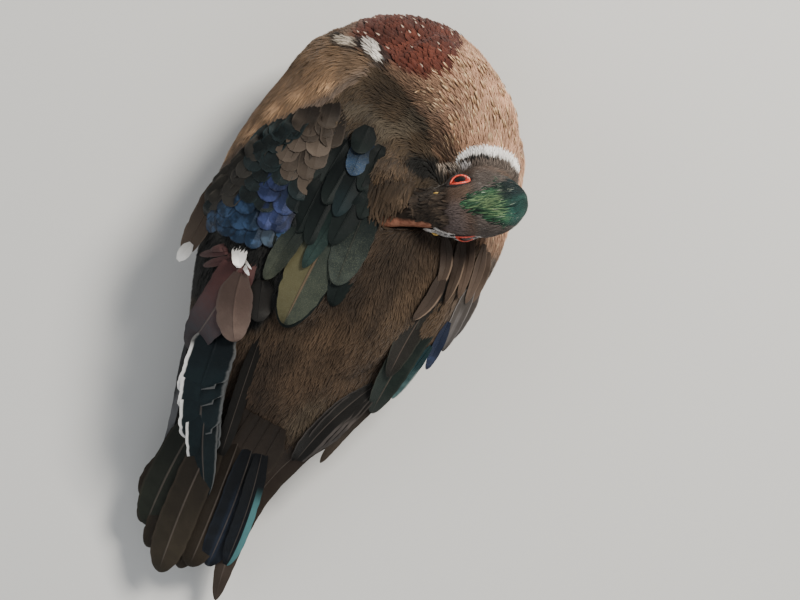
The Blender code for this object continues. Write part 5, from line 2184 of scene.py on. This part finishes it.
@dataclass
class RightWing(Wing):
    """The right wing, folded tight under the back feathers."""

    side: str = "right"
    under_coverts: tuple[str, ...] = ("wing_right_scapulars",)

    def primaries(self) -> list[Quill]:
        """The folded bunch that crosses to the tail, with its brown point.

        Returns:
            The feathers, the deepest first.
        """
        brown = Vanes.RECTRIX.but((40, 30, 24), (60, 46, 37))
        return [
            Quill((42, -98, 34), (25.0 - n * 1.6, -225 + n * 8, 17 + n * 0.8), 14.5 - n, brown,
                  (-0.5 + n * 0.3, -0.3 + n * 0.3), bow=-0.12 + n * 0.006, point=0.45)
            for n in range(3)
        ]

    def secondaries(self) -> list[Quill]:
        """The grey-brown sliver beside the rump, with a black gap inside it.

        Returns:
            The feathers, the deepest first.
        """
        dark = Vanes.BLACKISH.but(mark=(140, 120, 110), marks=(0, 0, 0.3, 0.6))
        grey = Vanes.GREYBROWN
        made = [
            Quill((50 - n * 1.5, -72), (36 - n * 4.0, -118 - n * 7.5), 12, dark,
                  (-0.6 + n * 0.2, -0.4 + n * 0.2), bow=-0.04, point=0.35)
            for n in range(3)
        ]
        made.append(Quill((55, -76), (41, -125), 6.5, grey, (0.2, 0.5), bow=-0.05, point=0.5))
        made.append(Quill((46, -104), (29, -133), 6.0, grey, (0.4, 0.7), bow=-0.06, point=0.5))
        return made

    def tertials(self) -> list[Quill]:
        """The long green-black feather and those under it.

        Returns:
            The feathers, the deepest first.
        """
        green = Vanes.SCAPULAR.but((10, 15, 14), (20, 30, 25), mark=(45, 50, 40), marks=(0, 0, 0.35, 0))
        black = green.but((12, 11, 10), (18, 16, 14))
        return [
            Quill((60, -8), (53, -87), 15, green, (0.4, 1.0), bow=-0.03, point=0.45),
            Quill((49, 16), (58, -44), 13, black, (1.3, 1.9), bow=0.04, point=0.5),
            Quill((56, 2), (51.5, -64), 13, black, (1.8, 2.2), bow=-0.03, point=0.45),
        ]

    def coverts(self) -> list[Quill]:
        """The strips of brown, grey, blue and teal along the wing's edge.

        Returns:
            The feathers, the deepest first.
        """
        brown = Vanes.BROWN.but((56, 38, 28), (98, 67, 49), mark=(170, 120, 88), marks=(0, 0, 0.5, 0))
        grey = Vanes.GREYBROWN.but((65, 56, 50), (120, 108, 102), mark=(300, 275, 265),
                                   marks=(0, 0.35, 0.5, 0))
        sky = Vanes.BLUE.but((18, 26, 55), (34, 52, 120), marks=(0, 0, 0.1, 0))
        teal = Vanes.SLATE.but((12, 40, 46), (95, 175, 170), mark=(300, 330, 310), marks=(0, 0, 0, 0.6))
        edge = brown.but((36, 25, 19), (60, 42, 31), mark=(220, 155, 110), marks=(0, 0, 0, 0.8))
        return [
            Quill((69, 4), (71.5, -38, 64), 7.5, grey, (-0.2, 0.3), point=0.6),
            Quill((73, 2), (73, -30, 60), 7.0, grey, (-0.2, 0.3), point=0.6),
            Quill((67, -22), (68.5, -51), 6.0, sky, (0.3, 0.7), point=0.5),
            Quill((64.6, -38), (59.4, -74), 5.5, teal, (0.5, 1.0), point=0.5),
            Quill((54, 26), (65, -8), 6.5, brown, (0.4, 1.5), bow=0.05, point=0.7),
            Quill((50, 24), (60, -14), 6.5, edge, (0.6, 1.6), bow=0.06, point=0.7),
            Quill((64, 24), (70, -9), 6.0, brown, (0.2, 1.2), bow=0.04, point=0.7),
            Quill((68, 22), (73, -7, 76), 6.0, brown, (0.0, 0.9), bow=0.03, point=0.7),
            Quill((42, 18), (53, -9), 7.0, edge, (0.5, 1.4), bow=0.1, point=0.6),
            Quill((51, 2), (49, -30), 7.5, edge, (0.3, 1.0), bow=0.08, point=0.6),
        ]


@dataclass
class Loose:
    """Loose small feathers laid one by one: over the bill's end, over its base and on the neck."""

    shoulder: tuple[Pair, Pair] = ((-9.0, 17.0), (15.5, 33.0))
    face: tuple[Pair, Pair] = ((25.5, 35.4), (35.3, 19.1))
    to_bill: Pair = (-0.883, -0.469)
    line: Line = ((-7, 15.9, 4.6), (-3, 15.6, 4.8), (2, 14.3, 5.0), (5, 14.2, 4.7), (10, 13.1, 3.5),
                  (14.5, 11.6, 2.9), (18, 10.3, 1.7), (22, 9.6, 0.5))
    wisp_count: int = 210
    fringe_count: int = 420
    line_count: int = 130
    dash_tries: int = 900
    dash_count: int = 95

    @staticmethod
    def _bed(name: str, quills: list[Quill], slot: str, *nodes: str) -> QuillBed:
        """A bed of simple thin feathers."""
        return QuillBed(name, quills, Ground.of(*nodes), slot, steps=10, thick=0.12, free_slope=0.0,
                        across=(-1.0, 0.0, 1.0), under=())

    def wisps(self, luck: np.random.Generator) -> QuillBed:
        """Brown shoulder feathers that hang over the end of the bill.

        Args:
            luck: the source of chance.

        Returns:
            The bed.
        """
        brown = Tract.FOLD.but((42, 28, 17), (78, 51, 31))
        (x0, y0), (x1, y1) = self.shoulder
        quills = []
        for share in luck.permutation(np.linspace(0, 1, self.wisp_count)):
            x = x0 + (x1 - x0) * share + luck.normal(0, 0.7)
            y = y0 + (y1 - y0) * share + luck.normal(0, 2.4)
            long = luck.uniform(9.0, 16.0) + 3.5 * float(ease(share, 0.15, 0.35) - ease(share, 0.6, 0.8))
            lean = luck.normal(0.14, 0.15)
            rise = luck.uniform(0.0, 1.4) + (2.0 if x < 0 else 0.3)
            quills.append(Quill((x, y), (x + lean * long, y - long), luck.uniform(1.0, 2.0),
                                brown.shaded(luck.uniform(0.72, 1.28)), (rise, rise + 0.7),
                                bow=luck.normal(0, 0.05), point=0.8))
        return self._bed("bill_wisps", quills, "body_plumage", *FLESH, "mantle_fold", "bill_upper", "head")

    def fringe(self, luck: np.random.Generator) -> QuillBed:
        """Short dark feathers of the face that reach over the bill's base.

        Args:
            luck: the source of chance.

        Returns:
            The bed.
        """
        # Painted shade: these feathers are painted near black where the face by the bill lies in shade, and
        # lighter the further back they root.
        dark = Tract.FACE.but((18, 12, 8), (36, 25, 17))
        (x0, y0), (x1, y1) = self.face
        ahead = np.array(self.to_bill)
        quills = []
        for place in np.sort(luck.uniform(0, 1, self.fringe_count))[::-1]:
            share = luck.uniform(0, 1)
            room = 10.5 * (1 - float(ease(share, 0.62, 1.0)))
            behind = 2.0 + (7.0 * luck.uniform() ** 2 if place < 0.4 else 0.0)
            edge = np.array([x0 + (x1 - x0) * share, y0 + (y1 - y0) * share])
            root = edge + ahead * (room * place - behind)
            turn = luck.normal(0.0, 0.16)
            aim = np.array([ahead[0] - turn * ahead[1], ahead[1] + turn * ahead[0]])
            tip = root + aim * luck.uniform(3.6, 7.0) * (0.6 + 0.4 * room / 10.5)
            wide = luck.uniform(0.9, 1.7)
            look = dark.shaded(luck.uniform(0.6, 1.5) * (1 + 0.12 * (behind - 2)))
            lift = (0.25, 0.75 + luck.uniform(0, 0.4))
            bow = luck.normal(0, 0.04)
            quills.append(Quill(tuple(root), tuple(tip), wide, look, lift, bow=bow, point=0.8))
        return self._bed("face_fringe", quills, "head_plumage", "head", "bill_upper", *FLESH)

    def pale_line(self, luck: np.random.Generator) -> QuillBed:
        """The grizzled pale line that runs back from the corner of the bill under the left eye.

        Args:
            luck: the source of chance.

        Returns:
            The bed.
        """
        pale = Tract.THROAT.but((400, 360, 330), (780, 740, 700))
        quills = []
        for at in luck.uniform(-4, 21, self.line_count):
            broad = float(np.interp(at, [-6, 1, 8, 14, 19, 22], [0.2, 0.4, 0.9, 1.1, 0.8, 0.3]))
            out = luck.uniform(-0.4, 1.0) * broad
            ends = []
            for ahead, rise in ((at + 1.5, -1.6), (at - luck.uniform(2.0, 3.4), -1.1)):
                left, up = read_table(self.line, np.array([ahead]))[0]
                own = np.array([[ahead, left + out, up + rise - 0.5 * max(out, 0.0)]])
                ends.append(tuple(PLACE.to_bird(PLACE.from_head(own))[0]))
            look = pale.shaded(luck.uniform(0.55, 1.15) * (0.25 if luck.uniform() < 0.16 else 1.0))
            quills.append(Quill(*ends, luck.uniform(0.7, 1.2), look, (0.0, 0.0), point=0.8))
        return self._bed("pale_line", quills, "head_plumage", "trunk")

    def dashes(self, luck: np.random.Generator) -> QuillBed:
        """Buff feathers scattered over the brown of the neck.

        Args:
            luck: the source of chance.

        Returns:
            The bed.
        """
        ground = Ground.of(*FLESH)
        places = luck.uniform((-16, 46), (62, 112), (self.dash_tries, 2))
        found = [(x, y, ground.top(x, y)) for x, y in places]
        found = [place for place in found if place[2] > 55 and place[1] > 57]
        normals = np.array([ground.near(np.array(place))[1] for place in found])
        found = np.array(found)
        tone = PLUMAGE.paint(found, normals)["tone"]
        clear = stroke(found[:, 0], found[:, 1], COLLAR)[0] > 7.5
        brown = (tone[:, 0] > 0.16) & (tone[:, 1] > 0.5 * tone[:, 0]) & (tone[:, 2] < 0.25)
        brown &= clear & (normals[:, 2] > 0.35)
        lies = PLUMAGE.lie(found, normals)
        buff = Tract.NECK.but((360, 210, 110), (780, 530, 310))
        quills = []
        for place, lie in list(zip(found[brown], lies[brown]))[:self.dash_count]:
            tip = place[:2] + lie[:2] * luck.uniform(3.8, 6.2)
            quills.append(Quill(tuple(place[:2]), tuple(tip), luck.uniform(0.55, 0.95),
                                buff.shaded(luck.uniform(0.6, 1.15)), (-0.1, 0.5), point=0.8))
        return self._bed("neck_dashes", quills, "body_plumage", *FLESH)

    def build(self, finish: Material) -> None:
        """Makes the four pieces.

        Args:
            finish: the material.
        """
        luck = np.random.default_rng(SEED + 7)
        for bed in (self.wisps(luck), self.fringe(luck), self.dashes(luck), self.pale_line(luck)):
            bed.build(finish)


@dataclass
class Tail:
    """The spread tail, with its coverts."""

    def build(self, finish: Material) -> None:
        """Makes the tail feathers, the hidden ones first.

        Args:
            finish: the material.
        """
        plain, dark = Vanes.RECTRIX, Vanes.RECTRIX.but((16, 13, 12))
        tips = ((-40, -192, 20), (-34, -205, 19.5), (-24, -216, 19), (-14, -221, 18.5), (-2, -218, 18.5),
                (8, -209, 19), (16, -203, 19.5))
        under = [Quill((-24 + n * 4.4, -122), tip, 18, dark, (-2.6, -2.2), point=0.28, arch=0.06)
                 for n, tip in enumerate(tips)]
        green = plain.but((12, 14, 11), (20, 23, 17), gloss=0.2)
        brown = plain.but((20, 16, 12), (40, 32, 22))
        blue = plain.but((8, 9, 11), (11, 14, 20), mark=(30, 45, 80), marks=(0, 0.3, 0.1, 0), gloss=0.45)
        teal = blue.but(mark=(90, 230, 240), marks=(0, 0, 0, 1.6))
        upper = [
            Quill((-28, -124), (-30, -205, 21.5), 22, green, (-1.4, -1.0), bow=-0.03, point=0.3, arch=0.08),
            Quill((8, -126), (21, -204, 22.5), 11, teal, (-1.2, -0.8), bow=0.03, point=0.26, arch=0.08),
            Quill((3, -126), (12, -209, 22.5), 16, blue, (-0.8, -0.4), bow=0.02, point=0.26, arch=0.08),
            Quill((-5, -128), (3, -214, 22.5), 20, plain, (-0.4, 0.0), bow=0.01, point=0.26, arch=0.08),
            Quill((-17, -126), (-11, -225, 22.0), 21, brown, (0.0, 0.4), bow=-0.02, point=0.26, arch=0.08),
        ]
        soft = plain.but((24, 18, 14), (36, 27, 21))
        coverts = [
            Quill((-24 + n * 6.2, -116), (-31 + n * 7.2, -154 - 5 * math.sin(n), 38), 15, soft,
                  (0.2, 0.9), point=0.6)
            for n in range(7)
        ]
        ground = Ground.of(*FLESH, "tail")
        QuillBed("tail_feathers", under + upper + coverts, ground, replaced=("tail",)).build(finish)


# The head's bare parts


@dataclass
class Eyes:
    """Both eyes with their lids."""

    half_long: float = 4.8
    half_high: float = 3.05
    slant: float = 7.0
    bead: float = 0.78
    sides: int = 60

    def _turns(self) -> Array:
        """The directions round the line of sight."""
        return 2 * np.pi * np.arange(self.sides) / self.sides

    def _opening(self) -> Array:
        """The lids' edge, flat in the eye's frame: a slanted oval that is pinched at both corners.

        Returns:
            The places round it.
        """
        turns = self._turns()
        pinch = 1 - 0.34 * np.clip(np.cos(turns), 0, 1) ** 5 - 0.1 * np.clip(-np.cos(turns), 0, 1) ** 6
        long = self.half_long * (1 + 0.07 * np.clip(np.cos(turns), 0, 1) ** 6)
        ahead, up = long * np.cos(turns), self.half_high * np.sin(turns) * pinch
        c, s = turn_of(self.slant)
        return as_rows(c * ahead - s * up, s * ahead + c * up, 0 * turns)

    def _rings(self, rows: list[Array], at: EyeFrame, name: str, closed: bool = True) -> Piece:
        """A piece from rings of places in the eye's frame.

        Args:
            rows: the rings.
            at: which eye.
            name: the piece's name.
            closed: joins the last ring to the first.

        Returns:
            The piece.
        """
        points = np.stack(rows).reshape(-1, 3)
        faces = ring_faces(len(rows), self.sides, closed)
        piece = mesh_object(name, PLACE.from_head(at.to_head(points)), faces)
        turn_out(piece)
        return piece

    def _globe(self, at: EyeFrame, name: str, finish: Material) -> None:
        """One eyeball, with the distance from its line of sight stored.

        Args:
            at: which eye.
            name: the piece's name.
            finish: the material.
        """
        turns = self._turns()
        rows, gaze = [], []
        for turn in np.linspace(0.03, math.pi - 0.03, 30):
            flat = EYE_RADIUS * math.sin(turn)
            middle = np.full(self.sides, EYE_RADIUS * math.cos(turn))
            rows.append(as_rows(flat * np.cos(turns), flat * np.sin(turns), middle))
            far = flat if turn < math.pi / 2 else EYE_RADIUS
            gaze.append(as_rows(np.full(self.sides, far), np.cos(turns * 3), np.sin(turns * 3)))
        piece = self._rings(rows, at, name, closed=False)
        store(piece.data, "gaze", np.concatenate(gaze))
        hand_in(piece, finish, "eye", name)

    def _lids(self, at: EyeFrame, name: str, finish: Material) -> None:
        """A bare wrinkled bead round the opening.

        Args:
            at: which eye.
            name: the piece's name.
            finish: the material.
        """
        flat, turns = self._opening(), self._turns()
        height = np.sqrt((EYE_RADIUS + 0.2) ** 2 - (flat**2).sum(axis=1))
        middle = flat + as_rows(0 * height, 0 * height, height)
        outward = unit(middle)
        away = unit(flat - outward * (flat * outward).sum(axis=1, keepdims=True))
        wrinkle = 1 + 0.1 * np.sin(turns * 13) + 0.07 * np.sin(turns * 29 + 1)
        rear = np.exp(-(((turns - math.radians(205)) / 0.5) ** 2))
        size = (self.bead * wrinkle * (1 + 0.35 * rear))[:, None]
        rows, gaze = [], []
        for j in range(12):
            around = 2 * math.pi * j / 12
            swell = away * (math.cos(around) * size * 0.95 + 0.22)
            rows.append(middle + swell + outward * math.sin(around) * size * 0.62)
            gaze.append(as_rows(rear, turns, 0 * turns))
        piece = self._rings(rows, at, name)
        store(piece.data, "gaze", np.concatenate(gaze))
        hand_in(piece, finish, "eye")

    def _socket(self, at: EyeFrame, name: str, finish: Material) -> None:
        """Dark skin between the bead and the face.

        Args:
            at: which eye.
            name: the piece's name.
            finish: the material.
        """
        flat = self._opening()
        near = np.sqrt(EYE_RADIUS**2 - (flat**2).sum(axis=1))
        rows = []
        for reach, rise in ((1.06, 0.1), (1.32, 0.1), (1.6, -0.3), (1.65, -3.2), (1.1, -3.0)):
            rows.append(flat * reach + as_rows(0 * near, 0 * near, near + rise))
        piece = self._rings(rows, at, name)
        own = np.concatenate(rows)
        coat = plain_coat(Look((18, 13, 12), (26, 20, 18)), len(own))
        pale = ease(-own[:, 1], 1.2, 2.8) * (at.side > 0)
        for key in ("tone", "tip"):
            coat[key] = blend(coat[key], np.array([[0.6, 0.56, 0.51]]), pale)
        store_coat(piece.data, coat, np.tile([0.0, 0.5, 0.0], (len(own), 1)))
        hand_in(piece, finish, "head_plumage")

    def build(self, eye: Material, lid: Material, feathers: Material) -> None:
        """Makes both eyes.

        Args:
            eye: the eyes' material.
            lid: the lids'.
            feathers: the feathers'.
        """
        for word, at in EYES.items():
            self._globe(at, f"eye_{word}", eye)
            self._lids(at, f"lid_{word}", lid)
            self._socket(at, f"socket_{word}", feathers)


@dataclass
class Bill:
    """The closed bill, with its nail, its nostrils and the line between its halves."""

    rows: int = 34
    sides: int = 28
    edges: tuple[tuple[str, Line], ...] = (
        ("left", ((17.6, 11.4, 2.2), (16.0, 12.1, 3.6), (14.2, 12.4, 4.9))),
        ("right", ((14.9, -9.9, 5.5), (13.0, -10.3, 7.0), (11.0, -10.5, 8.1))),
    )

    def _half(self, upper: bool, name: str, finish: Material) -> None:
        """One half of the bill.

        Args:
            upper: True for the upper half.
            name: the piece's name.
            finish: the material.
        """
        shares = np.linspace(0, 1, self.rows) ** 0.85
        at = shares * BILL_STATIONS[-1][0]
        half, top, gape, chin = read_table(BILL_STATIONS, at).T
        smooth = np.ones(9) / 9
        for line in (half, top):
            padded = np.pad(line, 4, mode="edge")
            line[2:-3] = np.convolve(padded, smooth, mode="valid")[2:-3]
        half = half * np.sqrt(np.clip(1 - ease(at, 27.5, 35.5) ** 2, 0.02, 1))
        points = []
        for i in range(self.rows):
            for k in range(self.sides):
                turn = 2 * math.pi * k / self.sides
                s, h = math.cos(turn), math.sin(turn)
                if upper:
                    flare = 1 + 0.05 * math.exp(-(((shares[i] - 0.75) / 0.15) ** 2))
                    side = half[i] * flare * math.copysign(abs(s) ** 0.9, s)
                    rise = top[i] - gape[i]
                    height = gape[i] + (rise * h**0.85 if h > 0 else 0.5 * h)
                    nail = 0.7 * math.exp(-(((at[i] - 31.5) / 2.6) ** 2) - (side / 3.0) ** 2)
                    pit = math.hypot((at[i] - 8.5) / 2.4, (height - gape[i] - rise * 0.52) / 1.1)
                    if h > 0:
                        side -= math.copysign(0.75 * math.exp(-(pit**2)), side)
                        height += nail
                else:
                    side = half[i] * 0.9 * s
                    lip = gape[i] - 0.35
                    height = lip - (lip - chin[i]) * max(-h, 0) ** 0.9 + (0.2 * h if h > 0 else 0)
                points.append((BILL_BASE + (at[i] if i else -2.2), side, height))
        piece = mesh_object(name, PLACE.from_head(np.array(points)), ring_faces(self.rows, self.sides))
        turn_out(piece)
        piece.data.set_sharp_from_angle(angle=math.radians(50))
        store(piece.data, "own", np.array(points))
        hand_in(piece, finish, "bill", name)

    def build(self, finish: Material, edge: Material) -> None:
        """Makes both halves, and the yellow edges at the corners of the base.

        Args:
            finish: the material.
            edge: the yellow edges' material.
        """
        self._half(True, "bill_upper", finish)
        self._half(False, "bill_lower", finish)
        for word, line in self.edges:
            shares = np.linspace(0, 1, 14)
            centres = read_table(tuple((k / 2, *row) for k, row in enumerate(line)), shares)
            radii = np.stack([0.7 * np.sin(np.pi * (0.06 + 0.88 * shares)) + 0.05] * 2, axis=1) * [1.0, 0.75]
            out = np.array([0.0, 1.0, 0.0])
            along = unit(centres[-1] - centres[0])
            points, faces = tube(centres, radii, unit(np.cross(along, out)), out, 12)
            piece = mesh_object(f"bill_edge_{word}", PLACE.from_head(points), faces)
            turn_out(piece)
            hand_in(piece, edge, "bill")


@dataclass
class Feet:
    """The feet and legs that lie flat beside the belly."""

    joint: Pair = (47.0, 6.0)
    toes: tuple[Pair, ...] = ((-14.0, 37.0), (9.0, 46.0), (32.0, 40.0))
    thick: float = 2.2
    web: float = 1.2
    hub: float = 2.2
    shin: float = 34.0
    shin_turn: float = 8.0
    hind: float = 12.0
    claw: float = 6.2
    bar_sides: int = 18

    def _foot(self, side: int, word: str, skin: Material, claw: Material) -> None:
        """One webbed foot with its claws.

        Args:
            side: -1 for left, 1 for right.
            word: left or right.
            skin: the skin's material.
            claw: the claws' material.
        """
        turns = np.radians(np.linspace(self.toes[0][0] - 5, self.toes[-1][0] + 5, 61))
        far = np.linspace(0, 1, 30)
        angles, lengths = np.radians([t for t, _ in self.toes]), np.array([l for _, l in self.toes])
        share = np.interp(turns, angles, [0, 1, 2])
        reach = np.interp(turns, angles, lengths) * (1 - 0.14 * np.sin(np.pi * (share % 1.0)))
        points, ridge = [], []
        for i, turn in enumerate(turns):
            for f in far:
                r = self.hub + (reach[i] - self.hub) * f
                height, toe = 0.0, 0.0
                for angle, length in zip(angles, lengths):
                    aside = abs(turn - angle) * r / (self.thick * (1.15 - 0.35 * r / length))
                    bulge = math.exp(-(aside**2))
                    knuckle = 1 + 0.1 * math.cos(r / length * math.pi * 6)
                    height = max(height, 2 * self.thick * (1 - 0.5 * r / length) * bulge * knuckle)
                    toe = max(toe, bulge)
                wave = 0.12 * math.sin(r * 1.3 + i)
                points.append((math.sin(turn) * r * side, math.cos(turn) * r, self.web * 0.8 + height + wave))
                ridge.append((toe, r, 0.0))
        count = len(points)
        points += [(x, y, 0.15) for x, y, _ in points]
        ridge += ridge
        rows, columns = len(turns), len(far)
        faces = []
        for i in range(rows - 1):
            for j in range(columns - 1):
                a = i * columns + j
                faces.append((a, a + 1, a + columns + 1, a + columns))
                faces.append((count + a, count + a + columns, count + a + columns + 1, count + a + 1))
        rim = [*range(columns), *(i * columns + columns - 1 for i in range(1, rows))]
        rim += [(rows - 1) * columns + j for j in range(columns - 2, -1, -1)]
        rim += [i * columns for i in range(rows - 2, 0, -1)]
        faces += [(a, a + count, b + count, b) for a, b in zip(rim, rim[1:] + rim[:1])]
        place = np.array([self.joint[0] * side, self.joint[1], 0.0])
        self._hand_in(f"foot_{word}", np.array(points) + place, faces, np.array(ridge), skin, f"foot_{word}")
        for number, (out, length) in enumerate(self.toes):
            c, s = turn_of(out)
            ahead = np.array([s * side, c, 0.0])
            start = place + ahead * (length - 1.0) + np.array([0, 0, 1.9])
            self._bar(f"claw_{word}_{number + 1}", start, ahead, self.claw, (1.35, 0.15), 1.1, claw)

    @staticmethod
    def _hand_in(name: str, points: Array, faces: list, ridge: Array, finish: Material, *nodes: str) -> None:
        """Makes one piece from places in the bird's frame, with its ridge numbers stored.

        Args:
            name: the piece's name.
            points: places in mm in the bird's frame.
            faces: the corners of each face.
            ridge: the numbers for the skin's scales.
            finish: the material.
            nodes: the solid that it replaces.
        """
        piece = mesh_object(name, PLACE.to_row(points), faces)
        turn_out(piece)
        store(piece.data, "ridge", ridge)
        hand_in(piece, finish, "foot_skin", *nodes)

    def _bar(
        self, name: str, start: Array, ahead: Array, length: float, radii: Pair, droop: float,
        finish: Material, *nodes: str,
    ) -> None:
        """A tapering round bar that curves down.

        Args:
            name: the piece's name.
            start: its first place, in mm in the bird's frame.
            ahead: its direction.
            length: its length.
            radii: its radius at the start and at the end.
            droop: how far its end drops.
            finish: its material.
            nodes: the solid that it replaces.
        """
        shares = np.linspace(0, 1, 16)
        centres = start + ahead * (length * shares)[:, None] - np.outer(droop * shares**2, [0, 0, 1])
        radius = radii[0] + (radii[1] - radii[0]) * shares
        radius = radius * (1 + (0.05 if nodes else 0.0) * np.cos(shares * np.pi * 8))
        level = np.array([-ahead[1], ahead[0], 0.0])
        radii_of = as_rows(radius, radius)
        points, faces = tube(centres, radii_of, level, np.array([0.0, 0.0, 1.0]), self.bar_sides)
        points[:, 2] = np.maximum(points[:, 2], 0.1)
        far = np.repeat(shares * length, self.bar_sides)
        ridge = as_rows(np.ones(len(points)), far, np.zeros(len(points)))
        self._hand_in(name, points, faces, ridge, finish, *nodes)

    def build(self, skin: Material, claw: Material) -> None:
        """Makes both feet.

        Args:
            skin: the skin's material.
            claw: the claws' material.
        """
        for side, word in ((-1, "left"), (1, "right")):
            self._foot(side, word, skin, claw)
            c, s = turn_of(self.shin_turn)
            ahead = np.array([s * side, c, 0.0])
            joint = np.array([self.joint[0] * side, self.joint[1], 0.0])
            start = joint - ahead * self.shin + np.array([0, 0, 3.2])
            self._bar(f"leg_{word}", start, ahead, self.shin, (3.5, 2.9), 0.2, skin, f"leg_{word}")
            root = joint + np.array([-4.8 * side, -4.0, 1.6])
            inward = np.array([-0.75 * side, -0.66, 0.0])
            self._bar(f"hind_toe_{word}", root, inward, self.hind, (1.6, 0.5), 0.4, skin, f"hind_toe_{word}")


# The studio


@dataclass
class Studio:
    """A pale floor, soft light and the camera over the bird."""

    height: float = 1.2
    focal_px: float = 2070.0
    image_width: int = 800
    over: Pair = (37.8, -23.9)
    right: Three = (0.883, 0.469, 0.0)
    up: Three = (-0.469, 0.883, 0.0)
    lamps: tuple[tuple[str, Three, float, float, Colour], ...] = (
        ("key", (0.95, 0.75, 1.25), 46.0, 0.45, (1.0, 0.95, 0.87)),
        ("fill", (-1.3, 0.2, 1.2), 6.5, 1.4, (0.92, 0.96, 1.0)),
        ("rim", (0.0, -1.4, 1.1), 6.0, 1.2, (0.96, 0.98, 1.0)),
    )
    floor_half: float = 3.0
    floor_cells: int = 24
    floor_drop: float = 0.0004
    sky: tuple[float, ...] = (0.9, 0.92, 0.95, 1.0)
    sky_strength: float = 0.38
    sensor: float = 36.0

    def floor(self) -> None:
        """A wide plain floor."""
        width = self.floor_cells + 1
        steps = np.linspace(-self.floor_half, self.floor_half, width)
        points = [(x, y, -self.floor_drop) for y in steps for x in steps]
        corners = [j * width + i for j in range(self.floor_cells) for i in range(self.floor_cells)]
        faces = [(a, a + 1, a + width + 1, a + width) for a in corners]
        made = mesh_object("floor", points, faces, smooth=False)
        made.data.materials.append(FloorFinish().build())

    def light(self, name: str, place: Vector, power: float, size: float, colour: Colour) -> None:
        """One soft area light that faces the bird.

        Args:
            name: the lamp's name.
            place: where it is.
            power: its power in watts.
            size: its width in metres.
            colour: its colour.
        """
        lamp = bpy.data.lights.new(name, "AREA")
        lamp.energy, lamp.size, lamp.color = power, size, colour
        made = put(name, lamp)
        made.location = place
        made.rotation_mode = "QUATERNION"
        made.rotation_quaternion = (Vector((0, 0, 0.05)) - place).to_track_quat("-Z", "Y")

    def build(self) -> None:
        """Makes the floor, the lights, the world and the camera."""
        self.floor()
        right, up, overhead = Vector(self.right), Vector(self.up), Vector((0, 0, 1))
        for name, (across, along, above), power, size, colour in self.lamps:
            self.light(name, right * across + up * along + overhead * above, power, size, colour)
        world = bpy.data.worlds.new("studio")
        world.use_nodes = True
        sky = world.node_tree.nodes["Background"]
        sky.inputs["Color"].default_value = self.sky
        sky.inputs["Strength"].default_value = self.sky_strength
        bpy.context.scene.world = world
        seen = bpy.data.cameras.new("camera")
        seen.sensor_width = self.sensor
        seen.lens = self.sensor * self.focal_px / self.image_width
        camera = put("camera", seen)
        place = PLACE.to_row([*self.over, 0.0])
        camera.location = (place[0], place[1], self.height)
        turned = Matrix((right, up, overhead)).transposed()
        camera.rotation_mode = "QUATERNION"
        camera.rotation_quaternion = turned.to_quaternion()
        bpy.context.scene.camera = camera


def main() -> None:
    """Builds the bird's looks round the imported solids."""
    logging.basicConfig(level=logging.INFO, format="%(message)s")
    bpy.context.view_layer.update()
    feathers = FeatherFinish("plumage").build()
    vanes = FeatherFinish("long_feathers", roughness=0.55, barbs=0.00025, sheen=0.0, specular=0.14).build()
    skin = Skin()
    skin.build()
    skin.dress(feathers)
    Coat(skin, feathers).grow()
    for part in (LeftWing(), RightWing(), Tail()):
        part.build(vanes)
    Loose().build(feathers)
    Eyes().build(EyeFinish().build(), LidFinish().build(), feathers)
    Bill().build(BillFinish().build(), BILL_EDGE.build())
    Feet().build(FootFinish().build(), CLAW.build())
    Studio().build()
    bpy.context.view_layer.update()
    total = sum(len(o.data.polygons) for o in bpy.data.objects if o.type == "MESH" and not o.hide_render)
    LOG.info("faces in all: %d", total)


if __name__ == "__main__":
    main()
